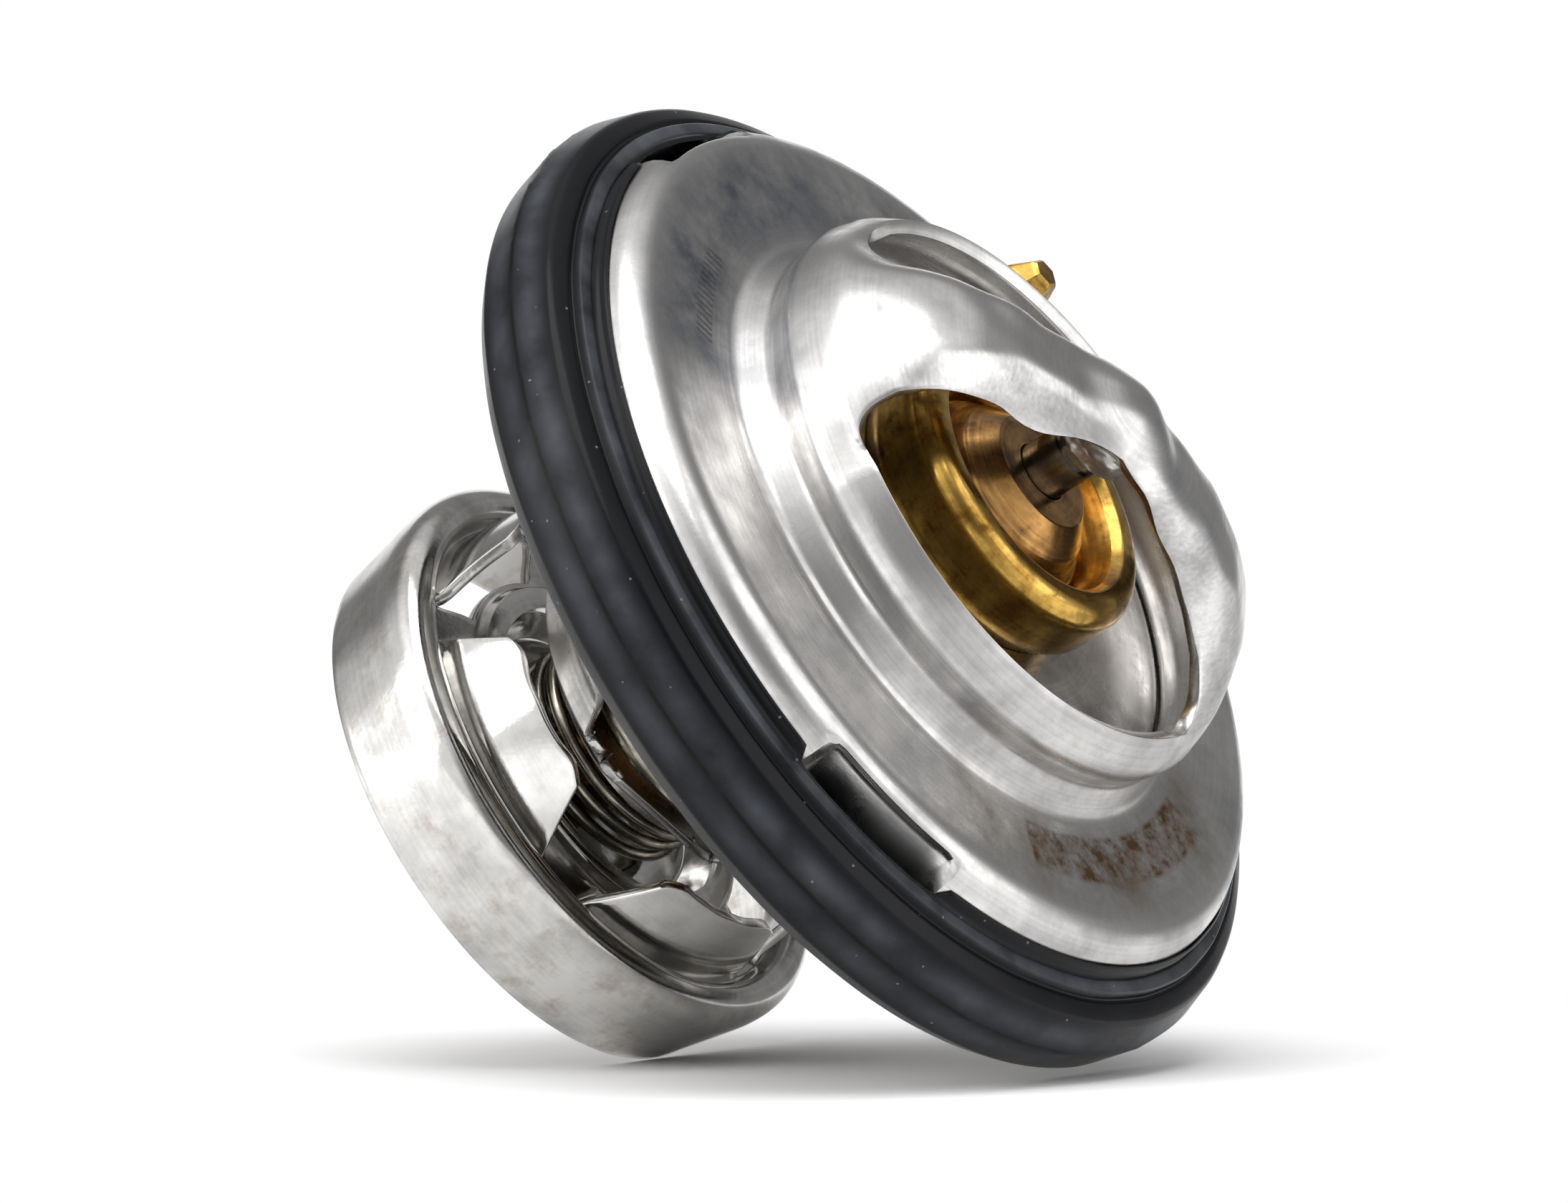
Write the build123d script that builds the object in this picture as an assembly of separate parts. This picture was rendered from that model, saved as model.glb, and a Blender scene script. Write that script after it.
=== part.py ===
"""Engine coolant thermostat with a ring-shaped bypass valve.

Millimetres. +Z runs along the thermostat's axis, from the bypass ring up to the dome.
The origin is the centre of the bypass ring's lower rim, which the part stands on.
X runs along the dome's bridge and the frame's legs.
"""
from math import asin, cos, pi, radians, sin, sqrt

from build123d import *
import os

os.makedirs("parts", exist_ok=True)

# ---------------------------------------------------------------- driving dimensions
# Heights are measured from the bypass ring's lower rim.

# Seal
SEAL_MID_Z = 28.6          # parting line of the rubber seal
SEAL_W = 3.8               # from the housing's rim to the straight outer wall
SEAL_WALL = 5.2            # height of the straight outer wall
SEAL_TOP = 3.3             # top face above the parting line
SEAL_BOTTOM = 3.9          # bottom face below the parting line
SEAL_CHAMFER = 1.7         # width of the sloped corners beside the straight wall
SEAL_LIP_OUT = 1.0         # from the housing's rim to the raised inner lip's outer side
SEAL_LIP_RISE = 0.5        # lip above the top face
SEAL_LIP_W = 0.6
SEAL_UNDERCUT = 1.6        # depth of the groove between lip and metal
SEAL_HOOK = 1.1            # bottom lip that reaches in under the housing
SEAL_HOOK_T = 0.7

# Upper housing, one pressed sheet
SHEET = 0.9
FLANGE_TOP = 6.6           # flange's top face above the parting line
RIM_R = 29.5               # outer radius of the turned-down rim
RIM_BEND = 2.6             # outer bend radius from flange to rim
RIM_CURL_W = 2.0           # width of the rim's rolled-in foot
RIM_CURL_BEND = 1.0
COLLAR_R = 20.3            # collar's outer radius at the flange
COLLAR_FILLET = 1.2
BEAD_IN = 1.05             # rolled bead's outer radius inside the collar's
BEAD_RISE = 2.0            # bead above the flange's top face
BEAD_DEPTH = 0.2           # corner of the bend inside the bead's radius
BEAD_BEND = 1.0
DOME_IN = 0.8              # dome's largest outer radius inside the collar's
DOME_RISE = 4.3            # height of that radius above the flange's top face
DOME_BULGE = 0.3           # corner of the bend outside that radius
DOME_BEND = 2.5
MOUTH_IN = 1.2             # dome's upper edge inside its largest radius
MOUTH_RISE = 6.6           # upper edge above the flange's top face

# Bridge across the dome
BRIDGE_FOOT_HALF_W = 7.3   # half width where it meets the dome's edge
BRIDGE = (                 # share of the mouth's radius, height above the flange, slope,
    (0.0, 14.9, 0.0, 3.9, 2.6),        # half width, arch height
    (0.137, 14.7, 6.0, 3.9, 2.5),
    (0.3, 14.2, 9.0, 3.9, 2.3),
    (0.49, 13.7, 13.0, 4.3, 2.6),
    (0.656, 12.7, 24.0, 5.3, 3.3),
    (0.81, 11.1, 37.0, 6.2, 3.3),
    (0.93, 9.1, 52.0, 6.8, 2.6),
    (0.984, 7.4, 70.0, 7.1, 1.8),
)
BRIDGE_SINK = 0.4          # how far the bridge's feet run into the dome's wall
BOSS_R = 3.3
BOSS_TOP = 16.0            # boss's top above the flange's top face
BOSS_DEPTH = 4.9           # height of the coined socket block
SOCKET_DEPTH = 3.2         # blind socket for the piston pin

# Crimp dents in the housing's rim
DENT_ANGLE = 264.0         # first dent
DENTS = 3
DENT_SPAN = 22.0           # degrees
DENT_DEPTH = 1.3
DENT_H = 3.0
DENT_LAND = 0.7            # flange left above the dent

# Jiggle pin
JIGGLE_ANGLE = 83.0
JIGGLE_SHARE = 0.533       # how far out it stands between the collar and the rim
JIGGLE_SHANK_R = 0.9
JIGGLE_HOLE_GAP = 0.35     # loose on purpose
JIGGLE_HEAD_R = 1.85
JIGGLE_HEAD_H = 2.9
JIGGLE_TIP_R = 1.1
JIGGLE_TIP_H = 1.4         # tapered end above the head
JIGGLE_FOOT_R = 1.7
JIGGLE_FOOT_H = 1.0
JIGGLE_PLAY = 1.2          # free lift

# Lower frame, one pressed sheet
FRAME_SHEET = 0.6
LEDGE_W = 3.9              # from the housing's rim to where the ledge turns down into the legs
LEG_HALF_W = 9.0
PAN_BOTTOM = 17.6          # underside of the pan below the parting line
PAN_R = 10.2               # spring pan's outer radius
PAN_STEP = 0.8             # pan is pressed down by this
PAN_STEP_W = 0.4
PAN_LAND_W = 0.9           # flat around the step
ELBOW_OUT = 2.4            # from the pan's radius to where the leg's steep part ends
ELBOW_DROP = 14.0          # depth of that elbow below the parting line
KNEE_SHARE = 0.53          # how far out the knee lies between the elbow and the ledge
KNEE_DROP = 9.8            # where the leg steepens again, below the parting line
WINDOW_LAND = 1.2          # ledge left outside each side window
FRAME_BENDS = (0.95, 0.1, 0.9, 2.0, 4.0, 0.4, 1.2)

# Wax element
CUP_R = 6.45
CUP_BOTTOM = 18.4          # cup's shoulder below the parting line
CUP_WALL = 0.8
CUP_FLANGE_R = 6.7         # flange under the valve disc
SPIGOT_R = 3.0
SPIGOT_L = 7.4             # below the cup's shoulder
PISTON_R = 1.9
PISTON_BOTTOM = 9.0        # piston's lower end below the parting line
PISTON_GROOVE_Z = 16.6     # groove above the parting line
PISTON_GROOVE_H = 0.35
PISTON_GROOVE_DEPTH = 0.2
BOOT_WALL = 1.3
BOOT_FLOOR = 2.0
BOOT_FLANGE_H = 1.0
SEAL_RING_H = 0.8          # anti-extrusion ring above the boot

# Guide (hub) of the wax element
HUB_FACE = 14.0            # end face above the parting line
HUB_FACE_R = 3.9
HUB_CONE_R = 5.9
HUB_CONE_DROP = 2.2
HUB_COLLAR_R = 6.6         # collar that clamps the shell
HUB_COLLAR_H = 0.6
HUB_STEM_R = 5.6           # stem through the shell and disc
HUB_STEM_END = 3.0         # stem's end above the parting line

# Main valve
SHELL_DISH_GAP = 0.3       # from the guide's collar to the edge of the shell's dished floor
SHELL_DISH_W = 1.1         # from that edge to the roll's inner edge
SHELL_ROLL_W = 2.3         # from the roll's inner edge to its outer side
SHELL_FOOT_IN = 1.1        # from the outer side to where the roll stands on the disc
SHELL_TOP = 13.6           # top of the roll above the parting line
SHELL_SHEET = 0.7
SHELL_BELLY_H = 1.6        # from its foot to its full radius
SHELL_BENDS = (1.5, 1.3, 0.75, 0.3)
DISC_SHEET = 0.8
DISC_TOP = 7.7             # disc's flat top face above the parting line
DISC_EYE_RISE = 2.2        # centre of the disc above its flat
DISC_EYE_W = 0.9           # width of the slope round the raised centre
DISC_RIM_H = 2.0           # turned-down rim
DISC_BEND = 1.0
DISC_EYE_BEND = 0.4

# Springs
MAIN_WIRE = 1.9
MAIN_TURNS = 4.5
MAIN_TOP_R = 13.4          # mean radius under the disc
MAIN_BOTTOM_R = 8.4        # mean radius in the pan
MAIN_END = 0.8             # 1 lays the end turns flat, 0 leaves them at full pitch
BYPASS_WIRE = 0.9
BYPASS_TURNS = 3.0
BYPASS_R = 6.9             # mean radius
BYPASS_END = 0.1
COIL_POINTS = 16           # points a turn
SEAT_WASHER_R = 7.3
SEAT_WASHER_T = 0.6

# Bypass ring valve, one pressed sheet
RING_SHEET = 0.8
RING_R = 19.0              # outer radius at the shoulder
RING_RIM_IN = 1.1          # lower rim's outer radius inside the shoulder's
RING_SHOULDER_Z = 5.7      # height of that radius
RING_TOP = 7.9             # top of the rounded shoulder
RING_WEB_TOP = 6.6         # top face of the web
RING_TUCK = 0.1            # shoulder's corner inside the largest radius
RING_CROWN = 0.5           # width of the shoulder's inner slope
RING_WEB_IN = 2.7          # from the shoulder's radius to where the petals stand on the web
CUP_RIM_R = 11.0           # spring cup pressed into the web's centre
CUP_RIM_RISE = 0.7
CUP_RIM_W = 0.9
CUP_RIM_FOOT = 0.3
RING_BENDS = (6.0, 1.3, 1.0, 0.3, 0.5, 0.9, 0.9, 0.3)
CUP_FLOOR_DROP = 1.6       # cup's floor below the web's top face
PETALS = 5
PETAL_SPAN = 60.0          # degrees, at the web
PETAL_TIP_SPAN = 37.0
PETAL_H = 6.0
PETAL_LEAN = 0.7           # tip is this much nearer the axis
PETAL_BEND = 8.0
PETAL_ANGLE = 221.5        # middle of the first petal
CLIP_R = 4.6
CLIP_T = 0.8
CLIP_GROOVE_R = 2.3
CLIP_GROOVE_H = 1.0
CLIP_MOUTH = 4.2
CLIP_GROOVE_GAP = 0.1      # axial, in the spigot's groove

# Clearances and fits
SLIDE_GAP = 0.05           # radial, between sliding parts
SEAT_GAP = 0.03            # between the closed disc and its seat
TOUCH = 0.0                # faces that meet
WIRE_GAP = 0.02            # between a spring's end and its seat
CRIMP_GAP = 0.1            # between a crimped edge and what it holds

# ---------------------------------------------------------------- places worked out
SEAL_R = RIM_R + SEAL_W
SEAL_FACE_R = SEAL_R - SEAL_CHAMFER
SEAL_LIP_R = RIM_R + SEAL_LIP_OUT
BEAD_R = COLLAR_R - BEAD_IN
DOME_R = COLLAR_R - DOME_IN
MOUTH_R = DOME_R - MOUTH_IN
RING_RIM_R = RING_R - RING_RIM_IN
RING_WEB_R = RING_R - RING_WEB_IN
JIGGLE_R = COLLAR_R + JIGGLE_SHARE * (RIM_R - COLLAR_R)
LEDGE_R = RIM_R - LEDGE_W
WINDOW_R = LEDGE_R - WINDOW_LAND
ELBOW_R = PAN_R + ELBOW_OUT
KNEE_R = ELBOW_R + KNEE_SHARE * (LEDGE_R - ELBOW_R)
FLANGE_Z = SEAL_MID_Z + FLANGE_TOP
RIM_FOOT_Z = SEAL_MID_Z - SEAL_BOTTOM + SEAL_HOOK_T
BEAD_Z = FLANGE_Z + BEAD_RISE
DOME_Z = FLANGE_Z + DOME_RISE
MOUTH_Z = FLANGE_Z + MOUTH_RISE
PAN_Z = SEAL_MID_Z - PAN_BOTTOM
PAN_TOP_Z = PAN_Z + FRAME_SHEET
CUP_Z = SEAL_MID_Z - CUP_BOTTOM
HUB_Z = SEAL_MID_Z + HUB_FACE
DISC_Z = SEAL_MID_Z + DISC_TOP
SHELL_Z = SEAL_MID_Z + SHELL_TOP
WEB_Z = RING_WEB_TOP
EYE_Z = DISC_Z + DISC_EYE_RISE
SHELL_FLOOR_Z = EYE_Z + SHELL_SHEET
CUP_TOP_Z = EYE_Z - DISC_SHEET
HUB_STEM_Z = SEAL_MID_Z + HUB_STEM_END
BOOT_TOP_Z = HUB_STEM_Z - SEAL_RING_H
PIN_END_Z = SEAL_MID_Z - PISTON_BOTTOM
BOOT_BOTTOM_Z = PIN_END_Z - SEAT_GAP - BOOT_FLOOR
RIM_FOOT_TOP_Z = RIM_FOOT_Z + SHEET
DENT_TOP_Z = FLANGE_Z - DENT_LAND
DENT_BOTTOM_Z = DENT_TOP_Z - DENT_H
FRAME_RIM_TOP_Z = DENT_BOTTOM_Z - SHEET - CRIMP_GAP
RING_FLOOR_Z = WEB_Z - CUP_FLOOR_DROP
SEAT_WASHER_Z = CUP_Z - SEAT_WASHER_T
CLIP_TOP_Z = RING_FLOOR_Z - RING_SHEET
SOCKET_Z = FLANGE_Z + BOSS_TOP - BOSS_DEPTH
SHELL_DISH_R = HUB_COLLAR_R + SHELL_DISH_GAP
SHELL_LIP_R = SHELL_DISH_R + SHELL_DISH_W
SHELL_R = SHELL_LIP_R + SHELL_ROLL_W
SHELL_FOOT_R = SHELL_R - SHELL_FOOT_IN
DISC_EYE_FOOT_R = SHELL_FOOT_R - SHELL_SHEET
DISC_EYE_R = DISC_EYE_FOOT_R - DISC_EYE_W


# ---------------------------------------------------------------- helpers
def along(points):
    """Corners (radius, height) as points of the XZ plane."""
    return [(r, 0, z) for r, z in points]


def offset_corners(points, t):
    """Corners of the line that runs t to the left of an open line of corners."""
    steps = [(b[0] - a[0], b[1] - a[1]) for a, b in zip(points, points[1:])]
    normals = [(-dz / sqrt(dr * dr + dz * dz), dr / sqrt(dr * dr + dz * dz)) for dr, dz in steps]
    before = [normals[0]] + normals
    after = normals + [normals[-1]]
    moved = []
    for (r, z), (ar, az), (br, bz) in zip(points, before, after):
        nr = (ar + br) / 2
        nz = (az + bz) / 2
        reach = t / (nr * nr + nz * nz)
        moved.append((r + nr * reach, z + nz * reach))
    return moved


def turned(points):
    """Solid of revolution from closed (radius, height) corners."""
    return revolve(make_face(Polyline(*along(points), close=True)), Axis.Z)


def sheet_face(points, bends, t):
    """Outline of a bent sheet: its outer corners, their bend radii, and its thickness to the left."""
    inner = offset_corners(points, t)
    inner_bends = []
    for a, b, c, bend in zip(points, points[1:], points[2:], bends):
        turn = (b[0] - a[0]) * (c[1] - b[1]) - (b[1] - a[1]) * (c[0] - b[0])
        inner_bends.append(bend - t if turn > 0 else bend + t)
    outer_line = FilletPolyline(*along(points), radius=bends)
    inner_line = FilletPolyline(*along(inner), radius=inner_bends)
    first = Line(along(points)[0], along(inner)[0])
    last = Line(along(points)[-1], along(inner)[-1])
    return make_face([outer_line, last, inner_line, first])


def pressed(points, bends, t):
    """Sheet-metal solid of revolution."""
    return revolve(sheet_face(points, bends, t), Axis.Z)


def tube(outer_r, inner_r, bottom, top):
    """Upright ring between two heights."""
    return turned([(inner_r, bottom), (outer_r, bottom), (outer_r, top), (inner_r, top)])


def turn(shape, angle):
    """Shape turned about the axis."""
    return Rot(0, 0, angle) * shape


def save(shape, node):
    """Write one node."""
    shape.label = node
    export_step(shape, f"parts/{node}.step")


def coil(wire, bottom_r, top_r, bottom, top, turns, end):
    """Round-wire spring between two heights, its end turns closing up by a share."""
    count = int(turns * COIL_POINTS)
    path = []
    for i in range(count + 1):
        s = i / count
        angle = 2 * pi * turns * s
        r = bottom_r + (top_r - bottom_r) * s
        rise = s - end * sin(2 * pi * s) / (2 * pi)
        z = bottom + wire / 2 + (top - bottom - wire) * rise
        path.append((r * cos(angle), r * sin(angle), z))
    line = Spline(*path)
    start = Plane(origin=line @ 0, z_dir=line % 0)
    return sweep(start * Circle(wire / 2), path=line, is_frenet=True)


def bridge_section(x, z, slope, half_w, arch):
    """Arched cross-section of the bridge, square to its crest."""
    bow = (half_w ** 2 + arch ** 2) / (2 * arch)
    span = asin(half_w / bow)
    under = bow - SHEET
    in_w = under * sin(span)
    in_drop = bow - under * cos(span)
    outer = ThreePointArc((-half_w, -arch), (0, 0), (half_w, -arch))
    inner = ThreePointArc((-in_w, -in_drop), (0, -SHEET), (in_w, -in_drop))
    left = Line((-half_w, -arch), (-in_w, -in_drop))
    right = Line((half_w, -arch), (in_w, -in_drop))
    a = radians(slope)
    place = Plane(origin=(x, 0, z), x_dir=(0, 1, 0), z_dir=(cos(a), 0, -sin(a)))
    return place * make_face([outer, right, inner, left])


# ---------------------------------------------------------------- housing
def dent(angle):
    """Pressed-in crimp: the wall pushed inwards, and the hollow it leaves."""
    floor_r = RIM_R - DENT_DEPTH
    block = revolve(
        make_face(Polyline(*along([
            (floor_r - SHEET, DENT_BOTTOM_Z - SHEET),
            (RIM_R - SHEET / 2, DENT_BOTTOM_Z - SHEET),
            (RIM_R - SHEET / 2, FLANGE_Z - SHEET),
            (floor_r - SHEET, FLANGE_Z - SHEET),
        ]), close=True)),
        Axis.Z,
        revolution_arc=DENT_SPAN,
    )
    hollow = revolve(
        make_face(Polyline(*along([
            (floor_r, DENT_BOTTOM_Z),
            (RIM_R + DENT_DEPTH, DENT_BOTTOM_Z),
            (RIM_R + DENT_DEPTH, DENT_TOP_Z),
            (floor_r, DENT_TOP_Z),
        ]), close=True)),
        Axis.Z,
        revolution_arc=DENT_SPAN,
    )
    first = angle - DENT_SPAN / 2
    return turn(block, first), turn(hollow, first)


def upper_housing():
    """Flange, rim, collar with its seat, dome and bridge, in one sheet."""
    lean = (DOME_R + DOME_BULGE - MOUTH_R) / (MOUTH_RISE - DOME_RISE)
    shell = pressed(
        [
            (RIM_R - RIM_CURL_W, RIM_FOOT_Z),
            (RIM_R, RIM_FOOT_Z),
            (RIM_R, FLANGE_Z),
            (COLLAR_R, FLANGE_Z),
            (BEAD_R - BEAD_DEPTH, BEAD_Z),
            (DOME_R + DOME_BULGE, DOME_Z),
            (MOUTH_R - lean * SHEET, MOUTH_Z + SHEET),
        ],
        [RIM_CURL_BEND, RIM_BEND, COLLAR_FILLET, BEAD_BEND, DOME_BEND],
        SHEET,
    )
    shell -= tube(DOME_R, 0, MOUTH_Z, MOUTH_Z + 2 * SHEET)
    mouth_drop = MOUTH_R - sqrt(MOUTH_R ** 2 - BRIDGE_FOOT_HALF_W ** 2)
    foot = (1.0, MOUTH_RISE - BRIDGE_SINK, 90.0, BRIDGE_FOOT_HALF_W, mouth_drop)
    sections = []
    for share, z, slope, half_w, arch in (*BRIDGE, foot):
        sections.append(bridge_section(share * MOUTH_R, FLANGE_Z + z, slope, half_w, arch))
    half = loft(sections)
    boss = tube(BOSS_R, 0, SOCKET_Z, FLANGE_Z + BOSS_TOP)
    body = shell + half + half.mirror(Plane.YZ) + boss
    body -= tube(PISTON_R, 0, SOCKET_Z - SHEET, SOCKET_Z + SOCKET_DEPTH)
    for k in range(DENTS):
        block, hollow = dent(DENT_ANGLE + k * 360 / DENTS)
        body = body + block - hollow
    hole = Pos(JIGGLE_R, 0, FLANGE_Z) * Cylinder(JIGGLE_SHANK_R + JIGGLE_HOLE_GAP, 4 * SHEET)
    return body - turn(hole, JIGGLE_ANGLE)


def lower_frame():
    """Rim held inside the housing, two legs and the spring pan, in one sheet."""
    rim_r = RIM_R - SHEET - SLIDE_GAP
    ledge_z = RIM_FOOT_TOP_Z + TOUCH
    body = pressed(
        [
            (CUP_R + SLIDE_GAP, PAN_Z),
            (PAN_R, PAN_Z),
            (PAN_R + PAN_STEP_W, PAN_Z + PAN_STEP),
            (PAN_R + PAN_STEP_W + PAN_LAND_W, PAN_Z + PAN_STEP),
            (ELBOW_R, SEAL_MID_Z - ELBOW_DROP),
            (KNEE_R, SEAL_MID_Z - KNEE_DROP),
            (LEDGE_R, ledge_z),
            (rim_r, ledge_z),
            (rim_r, FRAME_RIM_TOP_Z),
        ],
        FRAME_BENDS,
        FRAME_SHEET,
    )
    window = extrude(Circle(WINDOW_R) - Rectangle(3 * WINDOW_R, 2 * LEG_HALF_W), 2 * SEAL_MID_Z)
    return body - window


def rubber_seal():
    """Moulded rubber ring around the housing's rim."""
    low = SEAL_MID_Z - SEAL_BOTTOM
    top = SEAL_MID_Z + SEAL_TOP
    lip_r = SEAL_LIP_R - SEAL_LIP_W
    return turned([
        (RIM_R - SEAL_HOOK, low),
        (SEAL_FACE_R, low),
        (SEAL_R, SEAL_MID_Z - SEAL_WALL / 2),
        (SEAL_R, SEAL_MID_Z + SEAL_WALL / 2),
        (SEAL_FACE_R, top),
        (SEAL_LIP_R, top),
        (SEAL_LIP_R, top + SEAL_LIP_RISE),
        (lip_r, top + SEAL_LIP_RISE),
        (RIM_R, top - SEAL_UNDERCUT),
        (RIM_R, RIM_FOOT_Z),
        (RIM_R - SEAL_HOOK, RIM_FOOT_Z),
    ])


def piston_pin():
    """Ground pin staked in the bridge's boss."""
    body = tube(PISTON_R, 0, SEAL_MID_Z - PISTON_BOTTOM, SOCKET_Z + SOCKET_DEPTH)
    groove_z = SEAL_MID_Z + PISTON_GROOVE_Z
    groove_r = PISTON_R - PISTON_GROOVE_DEPTH
    return body - tube(PISTON_R + SHEET, groove_r, groove_z, groove_z + PISTON_GROOVE_H)


def jiggle_pin():
    """Loose vent pin with a stubby tapered head and a foot."""
    head = FLANGE_Z + SEAT_GAP
    taper = head + JIGGLE_HEAD_H
    foot = FLANGE_Z - SHEET - JIGGLE_PLAY
    outline = [
        (0, foot - JIGGLE_FOOT_H),
        (JIGGLE_FOOT_R, foot - JIGGLE_FOOT_H),
        (JIGGLE_FOOT_R, foot),
        (JIGGLE_SHANK_R, foot),
        (JIGGLE_SHANK_R, head),
        (JIGGLE_HEAD_R, head),
        (JIGGLE_HEAD_R, taper),
        (JIGGLE_TIP_R, taper + JIGGLE_TIP_H),
        (0, taper + JIGGLE_TIP_H),
    ]
    return turn(Pos(JIGGLE_R, 0, 0) * turned(outline), JIGGLE_ANGLE)


# ---------------------------------------------------------------- wax element and main valve
def seat_radius():
    """Disc's outer radius that leaves the seat gap to the collar's inner cone."""
    lean_r = BEAD_R - BEAD_DEPTH - COLLAR_R
    run = sqrt(lean_r ** 2 + BEAD_RISE ** 2)
    bend_z = DISC_Z - DISC_BEND - FLANGE_Z
    reach = SHEET + DISC_BEND + SEAT_GAP
    return COLLAR_R + DISC_BEND - (reach * run - bend_z * lean_r) / BEAD_RISE


def valve_disc():
    """Main valve plate with a raised eye and a turned-down rim."""
    rim_r = seat_radius()
    return pressed(
        [
            (rim_r, DISC_Z - DISC_RIM_H),
            (rim_r, DISC_Z),
            (DISC_EYE_FOOT_R, DISC_Z),
            (DISC_EYE_R, EYE_Z),
            (HUB_STEM_R, EYE_Z),
        ],
        [DISC_BEND, DISC_EYE_BEND, DISC_EYE_BEND + DISC_SHEET],
        DISC_SHEET,
    )


def valve_shell():
    """Rolled brass shell clamped on the disc by the guide."""
    return pressed(
        [
            (SHELL_FOOT_R, DISC_Z),
            (SHELL_R, DISC_Z + SHELL_BELLY_H),
            (SHELL_R, SHELL_Z),
            (SHELL_LIP_R, SHELL_Z),
            (SHELL_DISH_R, SHELL_FLOOR_Z),
            (HUB_STEM_R, SHELL_FLOOR_Z),
        ],
        SHELL_BENDS,
        SHELL_SHEET,
    )


def element_guide():
    """Brass hub that guides the pin and clamps the shell."""
    return turned([
        (PISTON_R + SLIDE_GAP, HUB_STEM_Z),
        (HUB_STEM_R, HUB_STEM_Z),
        (HUB_STEM_R, SHELL_FLOOR_Z),
        (HUB_COLLAR_R, SHELL_FLOOR_Z),
        (HUB_COLLAR_R, SHELL_FLOOR_Z + HUB_COLLAR_H),
        (HUB_CONE_R, HUB_Z - HUB_CONE_DROP),
        (HUB_FACE_R, HUB_Z),
        (PISTON_R + SLIDE_GAP, HUB_Z),
    ])


def wax_cup():
    """Brass cup with a top flange and a grooved spigot."""
    bore = CUP_R - CUP_WALL
    spigot_z = CUP_Z - SPIGOT_L
    body = turned([
        (0, spigot_z),
        (SPIGOT_R, spigot_z),
        (SPIGOT_R, CUP_Z),
        (CUP_R, CUP_Z),
        (CUP_R, CUP_TOP_Z - CUP_WALL),
        (CUP_FLANGE_R, CUP_TOP_Z - CUP_WALL),
        (CUP_FLANGE_R, CUP_TOP_Z),
        (bore, CUP_TOP_Z),
        (bore, CUP_Z + CUP_WALL),
        (0, CUP_Z + CUP_WALL),
    ])
    groove_top = CLIP_TOP_Z + CLIP_GROOVE_GAP
    return body - tube(SPIGOT_R + CLIP_T, CLIP_GROOVE_R, groove_top - CLIP_GROOVE_H, groove_top)


def rubber_boot():
    """Closed rubber sleeve around the pin."""
    return turned([
        (0, BOOT_BOTTOM_Z),
        (PISTON_R + BOOT_WALL, BOOT_BOTTOM_Z),
        (PISTON_R + BOOT_WALL, BOOT_TOP_Z - BOOT_FLANGE_H),
        (CUP_R - CUP_WALL, BOOT_TOP_Z - BOOT_FLANGE_H),
        (CUP_R - CUP_WALL, BOOT_TOP_Z),
        (PISTON_R + SLIDE_GAP, BOOT_TOP_Z),
        (PISTON_R + SLIDE_GAP, PIN_END_Z - SEAT_GAP),
        (0, PIN_END_Z - SEAT_GAP),
    ])


def wax_charge():
    """Wax that fills the cup around the boot."""
    return turned([
        (0, CUP_Z + CUP_WALL),
        (CUP_R - CUP_WALL, CUP_Z + CUP_WALL),
        (CUP_R - CUP_WALL, BOOT_TOP_Z - BOOT_FLANGE_H),
        (PISTON_R + BOOT_WALL, BOOT_TOP_Z - BOOT_FLANGE_H),
        (PISTON_R + BOOT_WALL, BOOT_BOTTOM_Z),
        (0, BOOT_BOTTOM_Z),
    ])


# ---------------------------------------------------------------- bypass valve
def bypass_ring():
    """Ring valve with five bent-up petals, five spokes and a spring cup."""
    body = pressed(
        [
            (RING_RIM_R, 0),
            (RING_R, RING_SHOULDER_Z),
            (RING_R - RING_TUCK, RING_TOP),
            (RING_WEB_R + RING_CROWN, RING_TOP),
            (RING_WEB_R, WEB_Z),
            (CUP_RIM_R + CUP_RIM_W + CUP_RIM_FOOT, WEB_Z),
            (CUP_RIM_R + CUP_RIM_FOOT, WEB_Z + CUP_RIM_RISE),
            (CUP_RIM_R - CUP_RIM_W + CUP_RIM_FOOT, WEB_Z + CUP_RIM_RISE),
            (CUP_RIM_R - 2 * CUP_RIM_W, RING_FLOOR_Z),
            (SPIGOT_R + SLIDE_GAP, RING_FLOOR_Z),
        ],
        RING_BENDS,
        RING_SHEET,
    )
    petal_r = RING_WEB_R - RING_SHEET
    half_base = RING_WEB_R * sin(radians(PETAL_SPAN / 2))
    half_tip = RING_WEB_R * sin(radians(PETAL_TIP_SPAN / 2))
    sheet = pressed(
        [
            (RING_WEB_R, WEB_Z - RING_SHEET),
            (RING_WEB_R, WEB_Z),
            (RING_WEB_R - PETAL_LEAN, WEB_Z + PETAL_H),
        ],
        [PETAL_BEND],
        RING_SHEET,
    )
    outline = make_face(Polyline(
        (0, -half_base, WEB_Z - RING_SHEET),
        (0, half_base, WEB_Z - RING_SHEET),
        (0, half_base, WEB_Z),
        (0, half_tip, WEB_Z + PETAL_H),
        (0, -half_tip, WEB_Z + PETAL_H),
        (0, -half_base, WEB_Z),
        close=True,
    ))
    petal = sheet & extrude(outline, RING_R, dir=(1, 0, 0))
    wedge = make_face(Polyline(
        (0, 0, 0),
        (2 * RING_R, 2 * RING_R * half_base / RING_WEB_R, 0),
        (2 * RING_R, -2 * RING_R * half_base / RING_WEB_R, 0),
        close=True,
    ))
    gap = extrude(wedge & (Circle(petal_r) - Circle(CUP_RIM_R + CUP_RIM_W + RING_SHEET)), RING_TOP)
    for k in range(PETALS):
        angle = PETAL_ANGLE + k * 360 / PETALS
        body = body - turn(gap, angle) + turn(petal, angle)
    return body


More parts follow.
